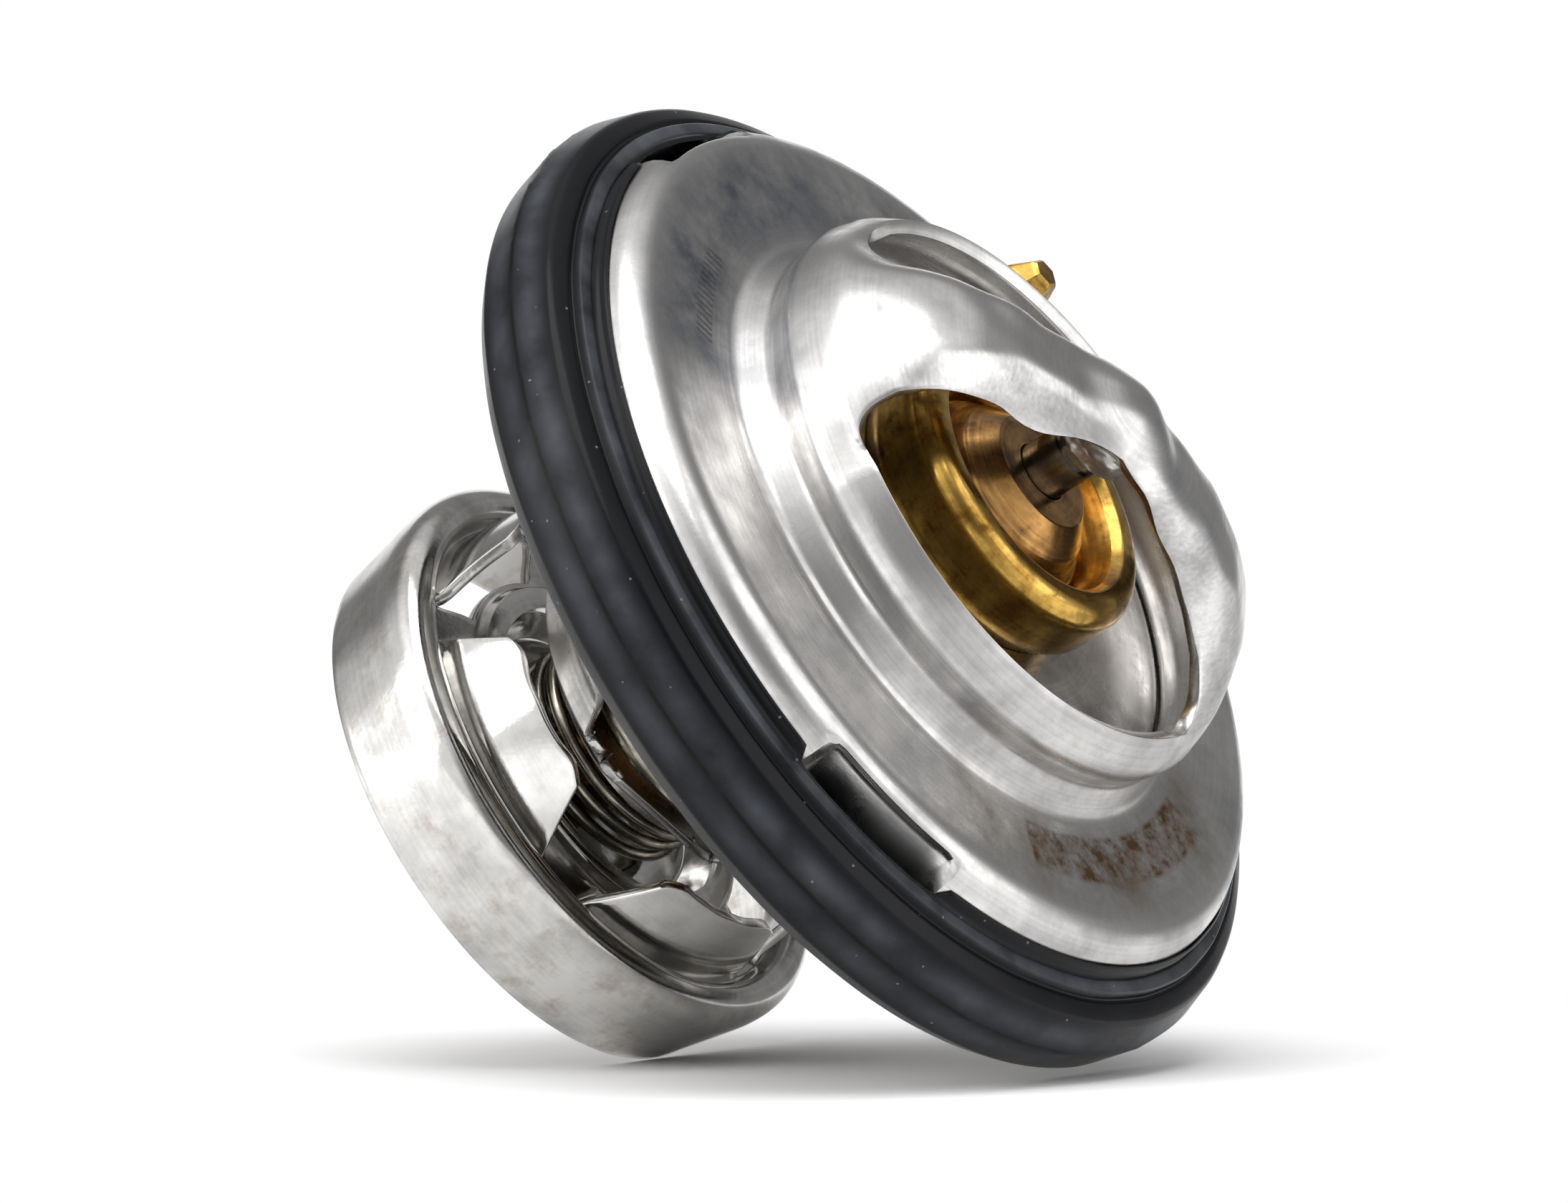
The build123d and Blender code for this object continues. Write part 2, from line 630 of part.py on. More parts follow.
def retaining_clip():
    """Spring clip in the spigot's groove."""
    body = tube(CLIP_R, CLIP_GROOVE_R + TOUCH, CLIP_TOP_Z - CLIP_T, CLIP_TOP_Z)
    mouth = Box(2 * CLIP_R, CLIP_MOUTH, 3 * CLIP_T, align=(Align.MIN, Align.CENTER, Align.CENTER))
    return body - Pos(0, 0, CLIP_TOP_Z) * mouth


# ---------------------------------------------------------------- all pieces
save(upper_housing(), "upper_housing")
save(lower_frame(), "lower_frame")
save(rubber_seal(), "rubber_seal")
save(piston_pin(), "piston_pin")
save(jiggle_pin(), "jiggle_pin")
save(valve_disc(), "valve_disc")
save(valve_shell(), "valve_shell")
save(element_guide(), "element_guide")
save(wax_cup(), "wax_cup")
save(wax_charge(), "wax_charge")
save(rubber_boot(), "rubber_boot")
save(tube(CUP_R - CUP_WALL, PISTON_R + SLIDE_GAP, BOOT_TOP_Z, HUB_STEM_Z), "seal_ring")
save(tube(SEAT_WASHER_R, SPIGOT_R + SLIDE_GAP, SEAT_WASHER_Z, CUP_Z), "spring_seat_washer")
save(bypass_ring(), "bypass_ring")
save(retaining_clip(), "retaining_clip")
main_spring = coil(
    MAIN_WIRE,
    MAIN_BOTTOM_R,
    MAIN_TOP_R,
    PAN_TOP_Z + WIRE_GAP,
    DISC_Z - DISC_SHEET - WIRE_GAP,
    MAIN_TURNS,
    MAIN_END,
)
save(main_spring, "main_spring")
bypass_spring = coil(
    BYPASS_WIRE,
    BYPASS_R,
    BYPASS_R,
    RING_FLOOR_Z + WIRE_GAP,
    SEAT_WASHER_Z - WIRE_GAP,
    BYPASS_TURNS,
    BYPASS_END,
)
save(bypass_spring, "bypass_spring")
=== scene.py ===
"""Looks of an engine coolant thermostat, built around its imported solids.

Profiles and sizes are in millimetres and turned to metres when a mesh is made. The frame is the
part's own: +Z along the thermostat's axis from the bypass ring to the dome, X along the bridge.
"""

import math

import bmesh
import bpy
from mathutils import Matrix, Vector, noise


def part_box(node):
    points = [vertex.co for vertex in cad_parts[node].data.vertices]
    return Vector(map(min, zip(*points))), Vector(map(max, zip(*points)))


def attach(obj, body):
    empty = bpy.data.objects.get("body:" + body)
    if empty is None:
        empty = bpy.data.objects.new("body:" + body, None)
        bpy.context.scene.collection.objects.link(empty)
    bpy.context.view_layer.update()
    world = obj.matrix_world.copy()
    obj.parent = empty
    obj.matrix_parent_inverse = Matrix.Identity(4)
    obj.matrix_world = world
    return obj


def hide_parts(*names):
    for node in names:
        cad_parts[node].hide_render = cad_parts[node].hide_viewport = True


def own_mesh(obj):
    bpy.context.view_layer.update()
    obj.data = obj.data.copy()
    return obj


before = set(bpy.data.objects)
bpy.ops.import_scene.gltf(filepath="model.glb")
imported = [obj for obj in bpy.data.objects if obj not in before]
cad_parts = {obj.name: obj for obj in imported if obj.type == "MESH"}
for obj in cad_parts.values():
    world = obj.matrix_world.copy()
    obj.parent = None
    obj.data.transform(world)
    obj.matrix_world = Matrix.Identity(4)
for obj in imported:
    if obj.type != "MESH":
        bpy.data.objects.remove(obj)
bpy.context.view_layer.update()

MM = 0.001


# ---------------------------------------------------------------- driving sizes, mm
def node_box(node):
    """Lowest and highest corner of a CAD node in millimetres."""
    low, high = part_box(node)
    return low / MM, high / MM


HOUSING_LOW, HOUSING_HIGH = node_box("upper_housing")
SEAL_LOW, SEAL_HIGH = node_box("rubber_seal")
FRAME_LOW, FRAME_HIGH = node_box("lower_frame")
SHELL_LOW, SHELL_HIGH = node_box("valve_shell")
GUIDE_LOW, GUIDE_HIGH = node_box("element_guide")

# what the pieces share
PARTING_Z = 28.6           # mould parting line of the rubber ring
ROUND_STEPS = 300          # columns round the axis
JOIN_GAP = 1e-5            # points closer than this are one
TINY = 0.001               # slack when radii are compared
EDGE_STEPS = 2             # faces across a broken edge
SHARP_ANGLE = 50.0         # edges sharper than this are broken, degrees

# housing: rim, flange, dome and bridge
FLANGE_Z = PARTING_Z + 6.6
SHEET = 0.9                # housing's sheet
HOUSING_EDGE = 0.05        # rounding of its cut edges
HOUSING_STEP = 0.5         # longest stretch between rows of its mesh, as for the other steps below
RIM_R = HOUSING_HIGH.x
FOOT_R = 27.5
BEAD_Z = FLANGE_Z + 2.0
DOME_Z = FLANGE_Z + 4.3
MOUTH_Z = FLANGE_Z + 6.6
MOUTH_R = 18.3
FOOT_ANGLE = 34.8          # half of the arc where the bridge grows out of the dome, degrees
BRIDGE_ROWS = 48           # rows from a foot to the crest's middle
# distance from the axis, height above the flange, near and far half width, arch drop, squareness
BRIDGE_LEFT = (
    (18.30, 6.60, 10.44, 10.44, 3.27, 2.0),
    (18.22, 6.85, 9.95, 9.60, 2.95, 2.0),
    (18.08, 7.20, 9.45, 8.50, 2.70, 2.0),
    (17.85, 7.75, 8.95, 7.20, 2.40, 2.0),
    (17.50, 8.40, 8.55, 6.00, 2.15, 2.1),
    (16.95, 9.20, 8.15, 5.00, 1.95, 2.3),
    (15.90, 10.30, 7.60, 4.30, 1.70, 2.6),
    (14.40, 11.45, 7.00, 4.00, 1.60, 3.0),
    (12.00, 12.75, 5.95, 3.90, 1.90, 3.6),
    (9.00, 13.70, 4.75, 4.00, 2.50, 4.2),
    (5.50, 14.25, 4.15, 4.10, 2.70, 4.5),
    (2.80, 14.60, 4.00, 4.10, 1.30, 4.0),
    (0.00, 14.75, 4.10, 4.20, 0.80, 3.5),
)
BRIDGE_RIGHT = (
    (18.30, 6.60, 10.44, 10.44, 3.27, 2.0),
    (18.15, 6.85, 9.95, 9.95, 2.95, 2.0),
    (17.95, 7.25, 9.30, 9.30, 2.65, 2.0),
    (17.65, 7.85, 8.70, 8.70, 2.45, 2.0),
    (17.20, 8.60, 8.10, 8.10, 2.40, 2.0),
    (16.45, 9.50, 7.40, 7.40, 2.50, 2.1),
    (15.10, 10.75, 6.70, 6.50, 2.60, 2.3),
    (13.20, 12.00, 5.90, 5.60, 2.80, 2.6),
    (11.20, 12.95, 5.40, 5.00, 2.70, 3.0),
    (8.60, 13.80, 5.10, 4.60, 2.50, 3.6),
    (5.50, 14.30, 4.70, 4.30, 2.10, 4.0),
    (2.80, 14.60, 4.30, 4.20, 1.20, 4.0),
    (0.00, 14.75, 4.10, 4.20, 0.80, 3.5),
)
BRIDGE_EASE = 0.8          # below 1 spreads the rows next to a foot
NUDGE = 0.01               # step along the bridge that its slope is taken over
WAVE_FROM = 0.1            # share of the way up where the sheet's slight waves start
WAVE_FULL = 0.3            # and where they are full
WAVE_H = 0.22
WAVE_RATE = 0.35           # waves per mm
FOOT_SWELL = 0.65          # how far the dome is drawn out at a foot
FOOT_SWELL_ARC = 0.45      # share of the foot's arc that is drawn out in full
FOOT_SWELL_RISE = 1.5      # height below the dome's bulge where it starts
FOOT_SWELL_FALL = 8.0      # height above the mouth where it has died out
FOOT_ROUND_RISE = 2.2      # height above the mouth up to which the foot's corners are rounded
FOOT_ROUND_ARC = 5.0       # degrees past the foot that are rounded with it
FOOT_ROUNDS = 40           # passes of rounding
BOSS_BUMP = 1.15           # boss above the bridge's crest
BOSS_TOP_R = 0.6
BOSS_FOOT_R = 4.8

# coined block under the bridge
SOCKET_Z = FLANGE_Z + 10.9
SOCKET_SHIFT = 0.55        # how far the block bulges out under the boss
SOCKET_BORE_R = 1.85
SOCKET_R = 3.0
SOCKET_SOFT = 0.35         # width over which its lumps start outside the bore
SOCKET_SHIFT_R = SOCKET_BORE_R + 0.05
SOCKET_SHIFT_H = 2.0       # height over which the bulge grows
SOCKET_COLUMNS = 120
SOCKET_STEP = 0.16
SOCKET_LUMPS = ((0.14, 0.7), (0.05, 2.6), (0.02, 7))   # share of the radius, lumps per mm

# crimps in the rim
DENT_ANGLES = (264.0, 24.0, 144.0)
DENT_HALF = 11.0           # degrees
DENT_FLOOR_R = 27.9
DENT_TOP_Z = FLANGE_Z - 0.75
DENT_EDGE = 0.45
DENT_SOFT = 0.9            # degrees over which its ends fall in

# vent pin and its hole
JIGGLE_ANGLE = 83.0
JIGGLE_R = 25.2
JIGGLE_HOLE_R = 1.25
JIGGLE_FACET = 10.0        # turn of the pinched facets, degrees
JIGGLE_FLATS = 0.86        # distance of the six flats as a share of the radius
JIGGLE_PINCH_LOW = FLANGE_Z + 1.2    # height where the facets start
JIGGLE_PINCH_HIGH = FLANGE_Z + 3.2   # and where they are full
JIGGLE_COLUMNS = 72
JIGGLE_STEP = 0.3

# lower frame
FRAME_SHEET = 0.6
FRAME_EDGE = 0.1
PAN_Z = FRAME_LOW.z
LEG_HALF_W = 9.0
WINDOW_R = 24.4
LEDGE_Z = 26.3
FRAME_COLUMNS = 240
FRAME_STEP = 0.8

# rubber ring
FLASH_H = 0.3              # half height of the torn mould flash
FLASH_TORN = 0.12          # how far it is torn back on the whole
FLASH_RAGGED = ((0.14, 0.8), (0.08, 4))   # depth, waves per mm
WALL_FROM_R = 32.0
SEAL_WAVE = 0.05           # unevenness of the soft ring
SEAL_WAVE_RATE = 0.25
SEAL_SHRINK = 0.03         # keeps the waves inside the moulded radius
SKIRT_FOOT_Z = PARTING_Z + 3.65
SKIRT_R = 29.9             # the skirt is all that lies inside this radius
SKIRT_OPEN = 1.5           # degrees that it stays clear of a crimp
SEAL_BEND_STEPS = 5
SEAL_STEP = 0.9

# bypass ring
RING_SHEET = 0.8
RING_EDGE = 0.1
WEB_Z = 6.6
PETALS = 5
PETAL_ANGLE = 221.5
VALLEY_R = 16.2            # valley between the ring's shoulder and its petals
PETAL_R = 15.95
PETAL_H = 6.0
PETAL_LEAN = 0.55
PETAL_HALF = 30.0          # degrees, at the web
PETAL_TIP_HALF = 18.5
PETAL_DIP = 0.35           # tip's middle below its corners
PETAL_ROUND = 0.7          # how far the tip's corners are rounded off
GAP_IN_R = 12.4
GAP_OUT_R = 15.5
GAP_IN_HALF = PETAL_TIP_HALF + 2
GAP_COLUMNS = 28
SPOKE_COLUMNS = 10
SHOULDER_STEP = 0.5
WEB_STEP = 0.6
PETAL_LEVELS = (0.05, 0.1, 0.17, 0.25, 0.34, 0.43, 0.52, 0.61, 0.7, 0.78, 0.86, 0.93, 1.0)
PETAL_BEND = 0.12          # share of the petal's height that bends up from the valley
PETAL_WORN = 0.12          # raggedness of a tip
PETAL_WORN_RATE = 3.0      # how fast it changes along a tip
PETAL_WORN_SEED = 1.5
PETAL_ROUND_FROM = 0.75    # share of the half width where a corner's rounding starts

# brass shell and hub
SHELL_SHEET = 0.7
SHELL_EDGE = 0.08
SHELL_BEND_STEPS = 9
SHELL_COLUMNS = 240
SHELL_STEP = 0.5
HUB_COLUMNS = 160
HUB_STEP = 0.8

# springs
COIL_STEPS = 72            # points in one turn of a spring
WIRE_SIDES = 16
# node, body, joint, travel, which end moves, wire, bottom and top mean radius, turns, closed end
MAIN_SPRING = ("main_spring", "housing", "valve_slide", 8.0, "top", 1.9, 8.4, 13.4, 4.5, 0.8)
BYPASS_SPRING = ("bypass_spring", "wax_element", "bypass_slide", 0.9, "bottom", 0.9, 6.9, 6.9, 3.0, 0.1)

# outlines: radius, height, bend radius
HOUSING_PROFILE = (
    (FOOT_R, HOUSING_LOW.z, 0),
    (RIM_R, HOUSING_LOW.z, 1.0),
    (RIM_R, FLANGE_Z, 2.6),
    (20.3, FLANGE_Z, 1.2),
    (19.05, BEAD_Z, 1.0),
    (19.8, DOME_Z, 2.5),
    (MOUTH_R, MOUTH_Z, 0),
)
SOCKET_PROFILE = (
    (SOCKET_BORE_R, SOCKET_Z + 0.1, 0),
    (2.5, SOCKET_Z, 0.3),
    (2.75, SOCKET_Z + 1.0, 0.5),
    (SOCKET_R, SOCKET_Z + 2.2, 0.6),
    (2.9, SOCKET_Z + 3.5, 0),
)
FRAME_PROFILE = (
    (6.5, PAN_Z, 0),
    (10.2, PAN_Z, 0.95),
    (10.6, PAN_Z + 0.8, 0.1),
    (11.5, PAN_Z + 0.8, 0.9),
    (12.6, PARTING_Z - 14.0, 2.0),
    (19.5, PARTING_Z - 9.8, 4.0),
    (25.6, LEDGE_Z, 0.4),
    (FRAME_HIGH.x, LEDGE_Z, 1.2),
    (FRAME_HIGH.x, FRAME_HIGH.z, 0),
)
SEAL_PROFILE = (
    (RIM_R - 1.1, SEAL_LOW.z, 0.2),
    (31.5, SEAL_LOW.z, 0.6),
    (SEAL_HIGH.x - 0.7, PARTING_Z - 2.7, 0.7),
    (SEAL_HIGH.x - 0.14, PARTING_Z - 0.3, 0),
    (SEAL_HIGH.x, PARTING_Z, 0),
    (SEAL_HIGH.x - 0.14, PARTING_Z + 0.3, 0),
    (SEAL_HIGH.x - 0.85, PARTING_Z + 2.5, 0.8),
    (31.25, PARTING_Z + 3.1, 0.35),
    (30.95, PARTING_Z + 2.8, 0.15),
    (30.8, PARTING_Z + 3.6, 0.25),
    (29.95, PARTING_Z + 3.72, 0.25),
    (29.85, PARTING_Z + 3.62, 0),
    (29.75, PARTING_Z + 4.55, 0.1),
    (RIM_R + 0.03, PARTING_Z + 4.75, 0.05),
    (RIM_R + 0.03, HOUSING_LOW.z - 0.02, 0.1),
    (RIM_R - 1.1, HOUSING_LOW.z - 0.02, 0.1),
    (RIM_R - 1.1, SEAL_LOW.z, 0.2),
)
SHOULDER_PROFILE = (
    (17.9, 0.0, 0),
    (19.0, 5.7, 6.0),
    (18.95, 7.9, 1.5),
    (16.75, 7.9, 1.0),
    (VALLEY_R, WEB_Z, 0),
)
WEB_PROFILE = (
    (VALLEY_R, WEB_Z, 0),
    (GAP_OUT_R, WEB_Z, 0),
    (GAP_IN_R, WEB_Z, 0),
    (12.0, WEB_Z, 0.4),
    (11.3, WEB_Z + 0.7, 0.9),
    (10.4, WEB_Z + 0.7, 0.9),
    (9.2, WEB_Z - 1.6, 0.3),
    (3.05, WEB_Z - 1.6, 0),
)
SHELL_PROFILE = (
    (9.2, SHELL_LOW.z, 0),
    (10.3, SHELL_LOW.z + 1.6, 1.5),
    (10.3, SHELL_HIGH.z, 1.5),
    (8.2, SHELL_HIGH.z, 0.35),
    (7.75, SHELL_HIGH.z - 0.6, 0.3),
    (6.9, SHELL_LOW.z + 2.9, 0.3),
    (5.6, SHELL_LOW.z + 2.9, 0),
)
HUB_PROFILE = (
    (1.95, GUIDE_LOW.z, 0),
    (5.6, GUIDE_LOW.z, 0.2),
    (5.6, GUIDE_HIGH.z - 3.4, 0),
    (6.6, GUIDE_HIGH.z - 3.4, 0.1),
    (6.6, GUIDE_HIGH.z - 2.8, 0.2),
    (5.9, GUIDE_HIGH.z - 2.2, 0.2),
    (5.55, GUIDE_HIGH.z - 1.5, 0.5),
    (3.95, GUIDE_HIGH.z, 0.2),
    (1.95, GUIDE_HIGH.z, 0.1),
    (1.95, GUIDE_LOW.z, 0),
)
JIGGLE_PROFILE = (
    (0.0, FLANGE_Z - 3.1, 0),
    (1.7, FLANGE_Z - 3.1, 0.3),
    (1.7, FLANGE_Z - 2.15, 0.3),
    (0.9, FLANGE_Z - 2.15, 0.1),
    (0.9, FLANGE_Z + 0.03, 0.1),
    (1.85, FLANGE_Z + 0.03, 0.2),
    (1.85, FLANGE_Z + 2.6, 0.5),
    (1.15, FLANGE_Z + 4.1, 0.5),
    (0.9, FLANGE_Z + 4.33, 0.2),
    (0.0, FLANGE_Z + 4.33, 0),
)


# ---------------------------------------------------------------- mesh making
def bent(corners, steps=7):
    """Open (radius, height) line whose corners (r, z, bend radius) are rounded in steps."""
    line = [Vector(corners[0][:2])]
    for a, b, c in zip(corners, corners[1:], corners[2:]):
        corner = Vector(b[:2])
        to_a = (Vector(a[:2]) - corner).normalized()
        to_c = (Vector(c[:2]) - corner).normalized()
        if b[2] == 0:
            line.append(corner)
            continue
        half = to_a.angle(to_c) / 2
        centre = corner + (to_a + to_c).normalized() * b[2] / math.sin(half)
        first = corner + to_a * b[2] / math.tan(half) - centre
        last = corner + to_c * b[2] / math.tan(half) - centre
        sweep = first.angle_signed(last)
        for k in range(steps + 1):
            line.append(centre + first @ Matrix.Rotation(sweep * k / steps, 2))
    line.append(Vector(corners[-1][:2]))
    return line


def divided(line, step):
    """The same line with no stretch longer than step."""
    fine = [line[0]]
    for a, b in zip(line, line[1:]):
        count = max(1, math.ceil((b - a).length / step))
        fine.extend(a.lerp(b, k / count) for k in range(1, count + 1))
    return fine


def around(r, angle, z):
    """Point at a radius, an azimuth in degrees and a height."""
    return Vector((r * math.cos(math.radians(angle)), r * math.sin(math.radians(angle)), z))


def spun(line, columns):
    """Rows of an outline turned round the axis."""
    return [[around(p.x, 360 * k / columns, p.y) for p in line] for k in range(columns)]


def smoothstep(low, high, x):
    """0 below low, 1 above high, smooth between."""
    t = min(1.0, max(0.0, (x - low) / (high - low)))
    return t * t * (3 - 2 * t)


def grid(bm, rows, wrap=False):
    """Quads between rows of points; returns the rows of vertices."""
    made = [[p if isinstance(p, bmesh.types.BMVert) else bm.verts.new(p) for p in row] for row in rows]
    pairs = list(zip(made, made[1:]))
    if wrap:
        pairs.append((made[-1], made[0]))
    for a, b in pairs:
        for k in range(len(a) - 1):
            bm.faces.new((a[k], b[k], b[k + 1], a[k + 1]))
    return made


def piece(name, bm, body, node=None):
    """Object of a mesh in millimetres, riding on a body and standing for a CAD node."""
    bmesh.ops.remove_doubles(bm, verts=bm.verts, dist=JOIN_GAP)
    bmesh.ops.recalc_face_normals(bm, faces=bm.faces)
    bm.transform(Matrix.Scale(MM, 4))
    mesh = bpy.data.meshes.new(name)
    bm.to_mesh(mesh)
    bm.free()
    mesh.shade_smooth()
    obj = bpy.data.objects.new(name, mesh)
    bpy.context.scene.collection.objects.link(obj)
    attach(obj, body)
    if node:
        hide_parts(node)
    return obj


def thicken(obj, thickness, edge):
    """Gives a pressed sheet its thickness, inwards, and breaks its edges."""
    solid = obj.modifiers.new("sheet", "SOLIDIFY")
    solid.thickness = thickness * MM
    solid.offset = -1
    rounding = obj.modifiers.new("broken edges", "BEVEL")
    rounding.width = edge * MM
    rounding.segments = EDGE_STEPS
    rounding.use_clamp_overlap = False
    rounding.limit_method = "ANGLE"
    rounding.angle_limit = math.radians(SHARP_ANGLE)
    return obj


# ---------------------------------------------------------------- housing
def between(table, t):
    """Row of a table at t, from 0 to 1, on a smooth curve through its rows."""
    place = t * (len(table) - 1)
    k = min(int(place), len(table) - 2)
    f = place - k
    rows = [table[max(k - 1, 0)], table[k], table[k + 1], table[min(k + 2, len(table) - 1)]]
    out = []
    for a, b, c, d in zip(*rows):
        out.append(b + f * (c - a + f * (2 * a - 5 * b + 4 * c - d + f * (3 * (b - c) + d - a))) / 2)
    return out


def dent_share(angle, half):
    """1 inside a crimp's arc, 0 outside, with soft ends."""
    share = 0.0
    for centre in DENT_ANGLES:
        arc = abs((angle - centre + 180) % 360 - 180)
        share = max(share, 1 - smoothstep(half - DENT_SOFT, half + DENT_SOFT, arc))
    return share


def dented(p):
    """Point of the rim pushed in where the housing is crimped."""
    r = math.hypot(p.x, p.y)
    if r <= DENT_FLOOR_R or p.z < PARTING_Z:
        return p
    side = dent_share(math.degrees(math.atan2(p.y, p.x)), DENT_HALF)
    top = 1 - smoothstep(DENT_TOP_Z - DENT_EDGE, DENT_TOP_Z + DENT_EDGE, p.z)
    pushed = r - side * top * (r - DENT_FLOOR_R)
    return Vector((p.x * pushed / r, p.y * pushed / r, p.z))


def fuller(p):
    """Point of the dome or bridge swelled out where the sheet is drawn up into a foot."""
    angle = math.degrees(math.atan2(abs(p.y), abs(p.x)))
    across = 1 - smoothstep(FOOT_ANGLE * FOOT_SWELL_ARC, FOOT_ANGLE, angle)
    rise = max(0, p.z - DOME_Z + FOOT_SWELL_RISE) / (MOUTH_Z - DOME_Z + FOOT_SWELL_RISE)
    fall = max(0, 1 - (p.z - MOUTH_Z) / FOOT_SWELL_FALL)
    along = rise ** 2 if p.z < MOUTH_Z else fall ** 2
    side = math.copysign(1, p.x)
    return p + Vector((side * FOOT_SWELL * across * along, 0, 0))


def relaxed(verts, rounds):
    """Evens out vertices among their neighbours; an edge's vertices stay in the edge."""
    for _ in range(rounds):
        moved = []
        for v in verts:
            edges = [e for e in v.link_edges if e.is_boundary or not v.is_boundary]
            middle = sum((e.other_vert(v).co for e in edges), Vector()) / len(edges)
            moved.append(v.co.lerp(middle, 0.5))
        for v, co in zip(verts, moved):
            v.co = co


def bridge_rows(foot_ring, far_ring, columns):
    """Rows of the arched bridge from the right foot's vertices to the left foot's."""
    rows = [foot_ring]
    for side, table in ((1, BRIDGE_RIGHT), (-1, BRIDGE_LEFT)):
        steps = range(1, BRIDGE_ROWS + 1) if side == 1 else range(BRIDGE_ROWS - 1, 0, -1)
        for k in steps:
            t = (k / BRIDGE_ROWS) ** BRIDGE_EASE
            x, z, near_w, far_w, drop, square = between(table, t)
            ahead = between(table, min(1, t + NUDGE))
            behind = between(table, max(0, t - NUDGE))
            along = Vector((ahead[0] - behind[0], 0, ahead[1] - behind[1]))
            if t == 1:
                along = Vector((-1, 0, 0))
            out = Vector((along.z, 0, -along.x)).normalized()
            worked = smoothstep(WAVE_FROM, WAVE_FULL, t)
            row = []
            for c in range(columns):
                u = 2 * c / (columns - 1) - 1
                fall = drop * abs(u) ** square
                p = Vector((x, (near_w if u < 0 else far_w) * u, FLANGE_Z + z)) - out * fall
                swell = 1 - smoothstep(BOSS_TOP_R, BOSS_FOOT_R, math.hypot(p.x, p.y))
                p.x *= side
                p.z += BOSS_BUMP * swell + WAVE_H * worked * noise.noise(p * WAVE_RATE)
                row.append(fuller(p))
            rows.append(row)
    rows.append(far_ring)
    return rows


def punch(bm, centre, radius):
    """Opens a round hole in a sheet."""
    inside = [v for v in bm.verts if (v.co - centre).length < radius]
    rim = set()
    for v in inside:
        rim.update(e.other_vert(v) for e in v.link_edges)
    bmesh.ops.delete(bm, geom=inside, context="VERTS")
    for v in rim:
        if v.is_valid:
            flat = Vector((v.co.x - centre.x, v.co.y - centre.y, 0)).normalized() * radius
            v.co = Vector((centre.x + flat.x, centre.y + flat.y, v.co.z))


def upper_housing():
    """Pressed stainless housing: rim, flange, collar, dome wall and bridge in one sheet."""
    line = divided(bent(HOUSING_PROFILE), HOUSING_STEP)
    bm = bmesh.new()
    turn = 360 / ROUND_STEPS
    rows = [[fuller(dented(around(p.x, turn * k, p.y))) for p in line] for k in range(ROUND_STEPS)]
    made = grid(bm, rows, wrap=True)
    half = round(FOOT_ANGLE / turn)
    foot = [made[k % ROUND_STEPS][-1] for k in range(-half, half + 1)]
    opposite = ROUND_STEPS // 2
    far = [made[opposite - k][-1] for k in range(-half, half + 1)]
    grid(bm, bridge_rows(foot, far, 2 * half + 1))
    feet = []
    for v in bm.verts:
        angle = math.degrees(math.atan2(abs(v.co.y), abs(v.co.x)))
        if DOME_Z < v.co.z < MOUTH_Z + FOOT_ROUND_RISE and angle < FOOT_ANGLE + FOOT_ROUND_ARC:
            feet.append(v)
    relaxed(feet, FOOT_ROUNDS)
    punch(bm, around(JIGGLE_R, JIGGLE_ANGLE, FLANGE_Z), JIGGLE_HOLE_R)
    obj = piece("pressed_housing", bm, "housing", "upper_housing")
    return thicken(obj, SHEET, HOUSING_EDGE)


def pin_socket():
    """Coined block under the bridge that holds the pin's end."""
    bm = bmesh.new()
    line = divided(bent(SOCKET_PROFILE), SOCKET_STEP)
    rows = []
    for k in range(SOCKET_COLUMNS):
        row = []
        for p in line:
            q = around(p.x, 360 * k / SOCKET_COLUMNS, p.y)
            lump = sum(share * noise.noise(q * rate) for share, rate in SOCKET_LUMPS)
            swell = 1 + lump * smoothstep(SOCKET_BORE_R, SOCKET_BORE_R + SOCKET_SOFT, p.x)
            upper = smoothstep(SOCKET_Z, SOCKET_Z + SOCKET_SHIFT_H, q.z)
            shift = SOCKET_SHIFT * upper * smoothstep(SOCKET_SHIFT_R, SOCKET_R, p.x)
            row.append(Vector((q.x * swell, q.y * swell - shift, q.z)))
        rows.append(row)
    grid(bm, rows, wrap=True)
    return piece("coined_pin_socket", bm, "housing")


# ---------------------------------------------------------------- lower frame
def lower_frame():
    """Pressed frame: rim and ledge all round, two legs and the spring pan."""
    bm = bmesh.new()
    grid(bm, spun(divided(bent(FRAME_PROFILE), FRAME_STEP), FRAME_COLUMNS), wrap=True)
    for side in (1, -1):
        near = [f for f in bm.faces if min(math.hypot(v.co.x, v.co.y) for v in f.verts) < WINDOW_R]
        parts = set(near)
        for f in near:
            parts.update(f.edges)
            parts.update(f.verts)
        bmesh.ops.bisect_plane(
            bm, geom=list(parts), plane_co=(0, side * LEG_HALF_W, 0), plane_no=(0, side, 0), dist=JOIN_GAP
        )
    gone = []
    for f in bm.faces:
        middle = f.calc_center_median()
        if abs(middle.y) > LEG_HALF_W and math.hypot(middle.x, middle.y) < WINDOW_R:
            gone.append(f)
    bmesh.ops.delete(bm, geom=gone, context="FACES")
    obj = piece("pressed_frame", bm, "housing", "lower_frame")
    return thicken(obj, FRAME_SHEET, FRAME_EDGE)


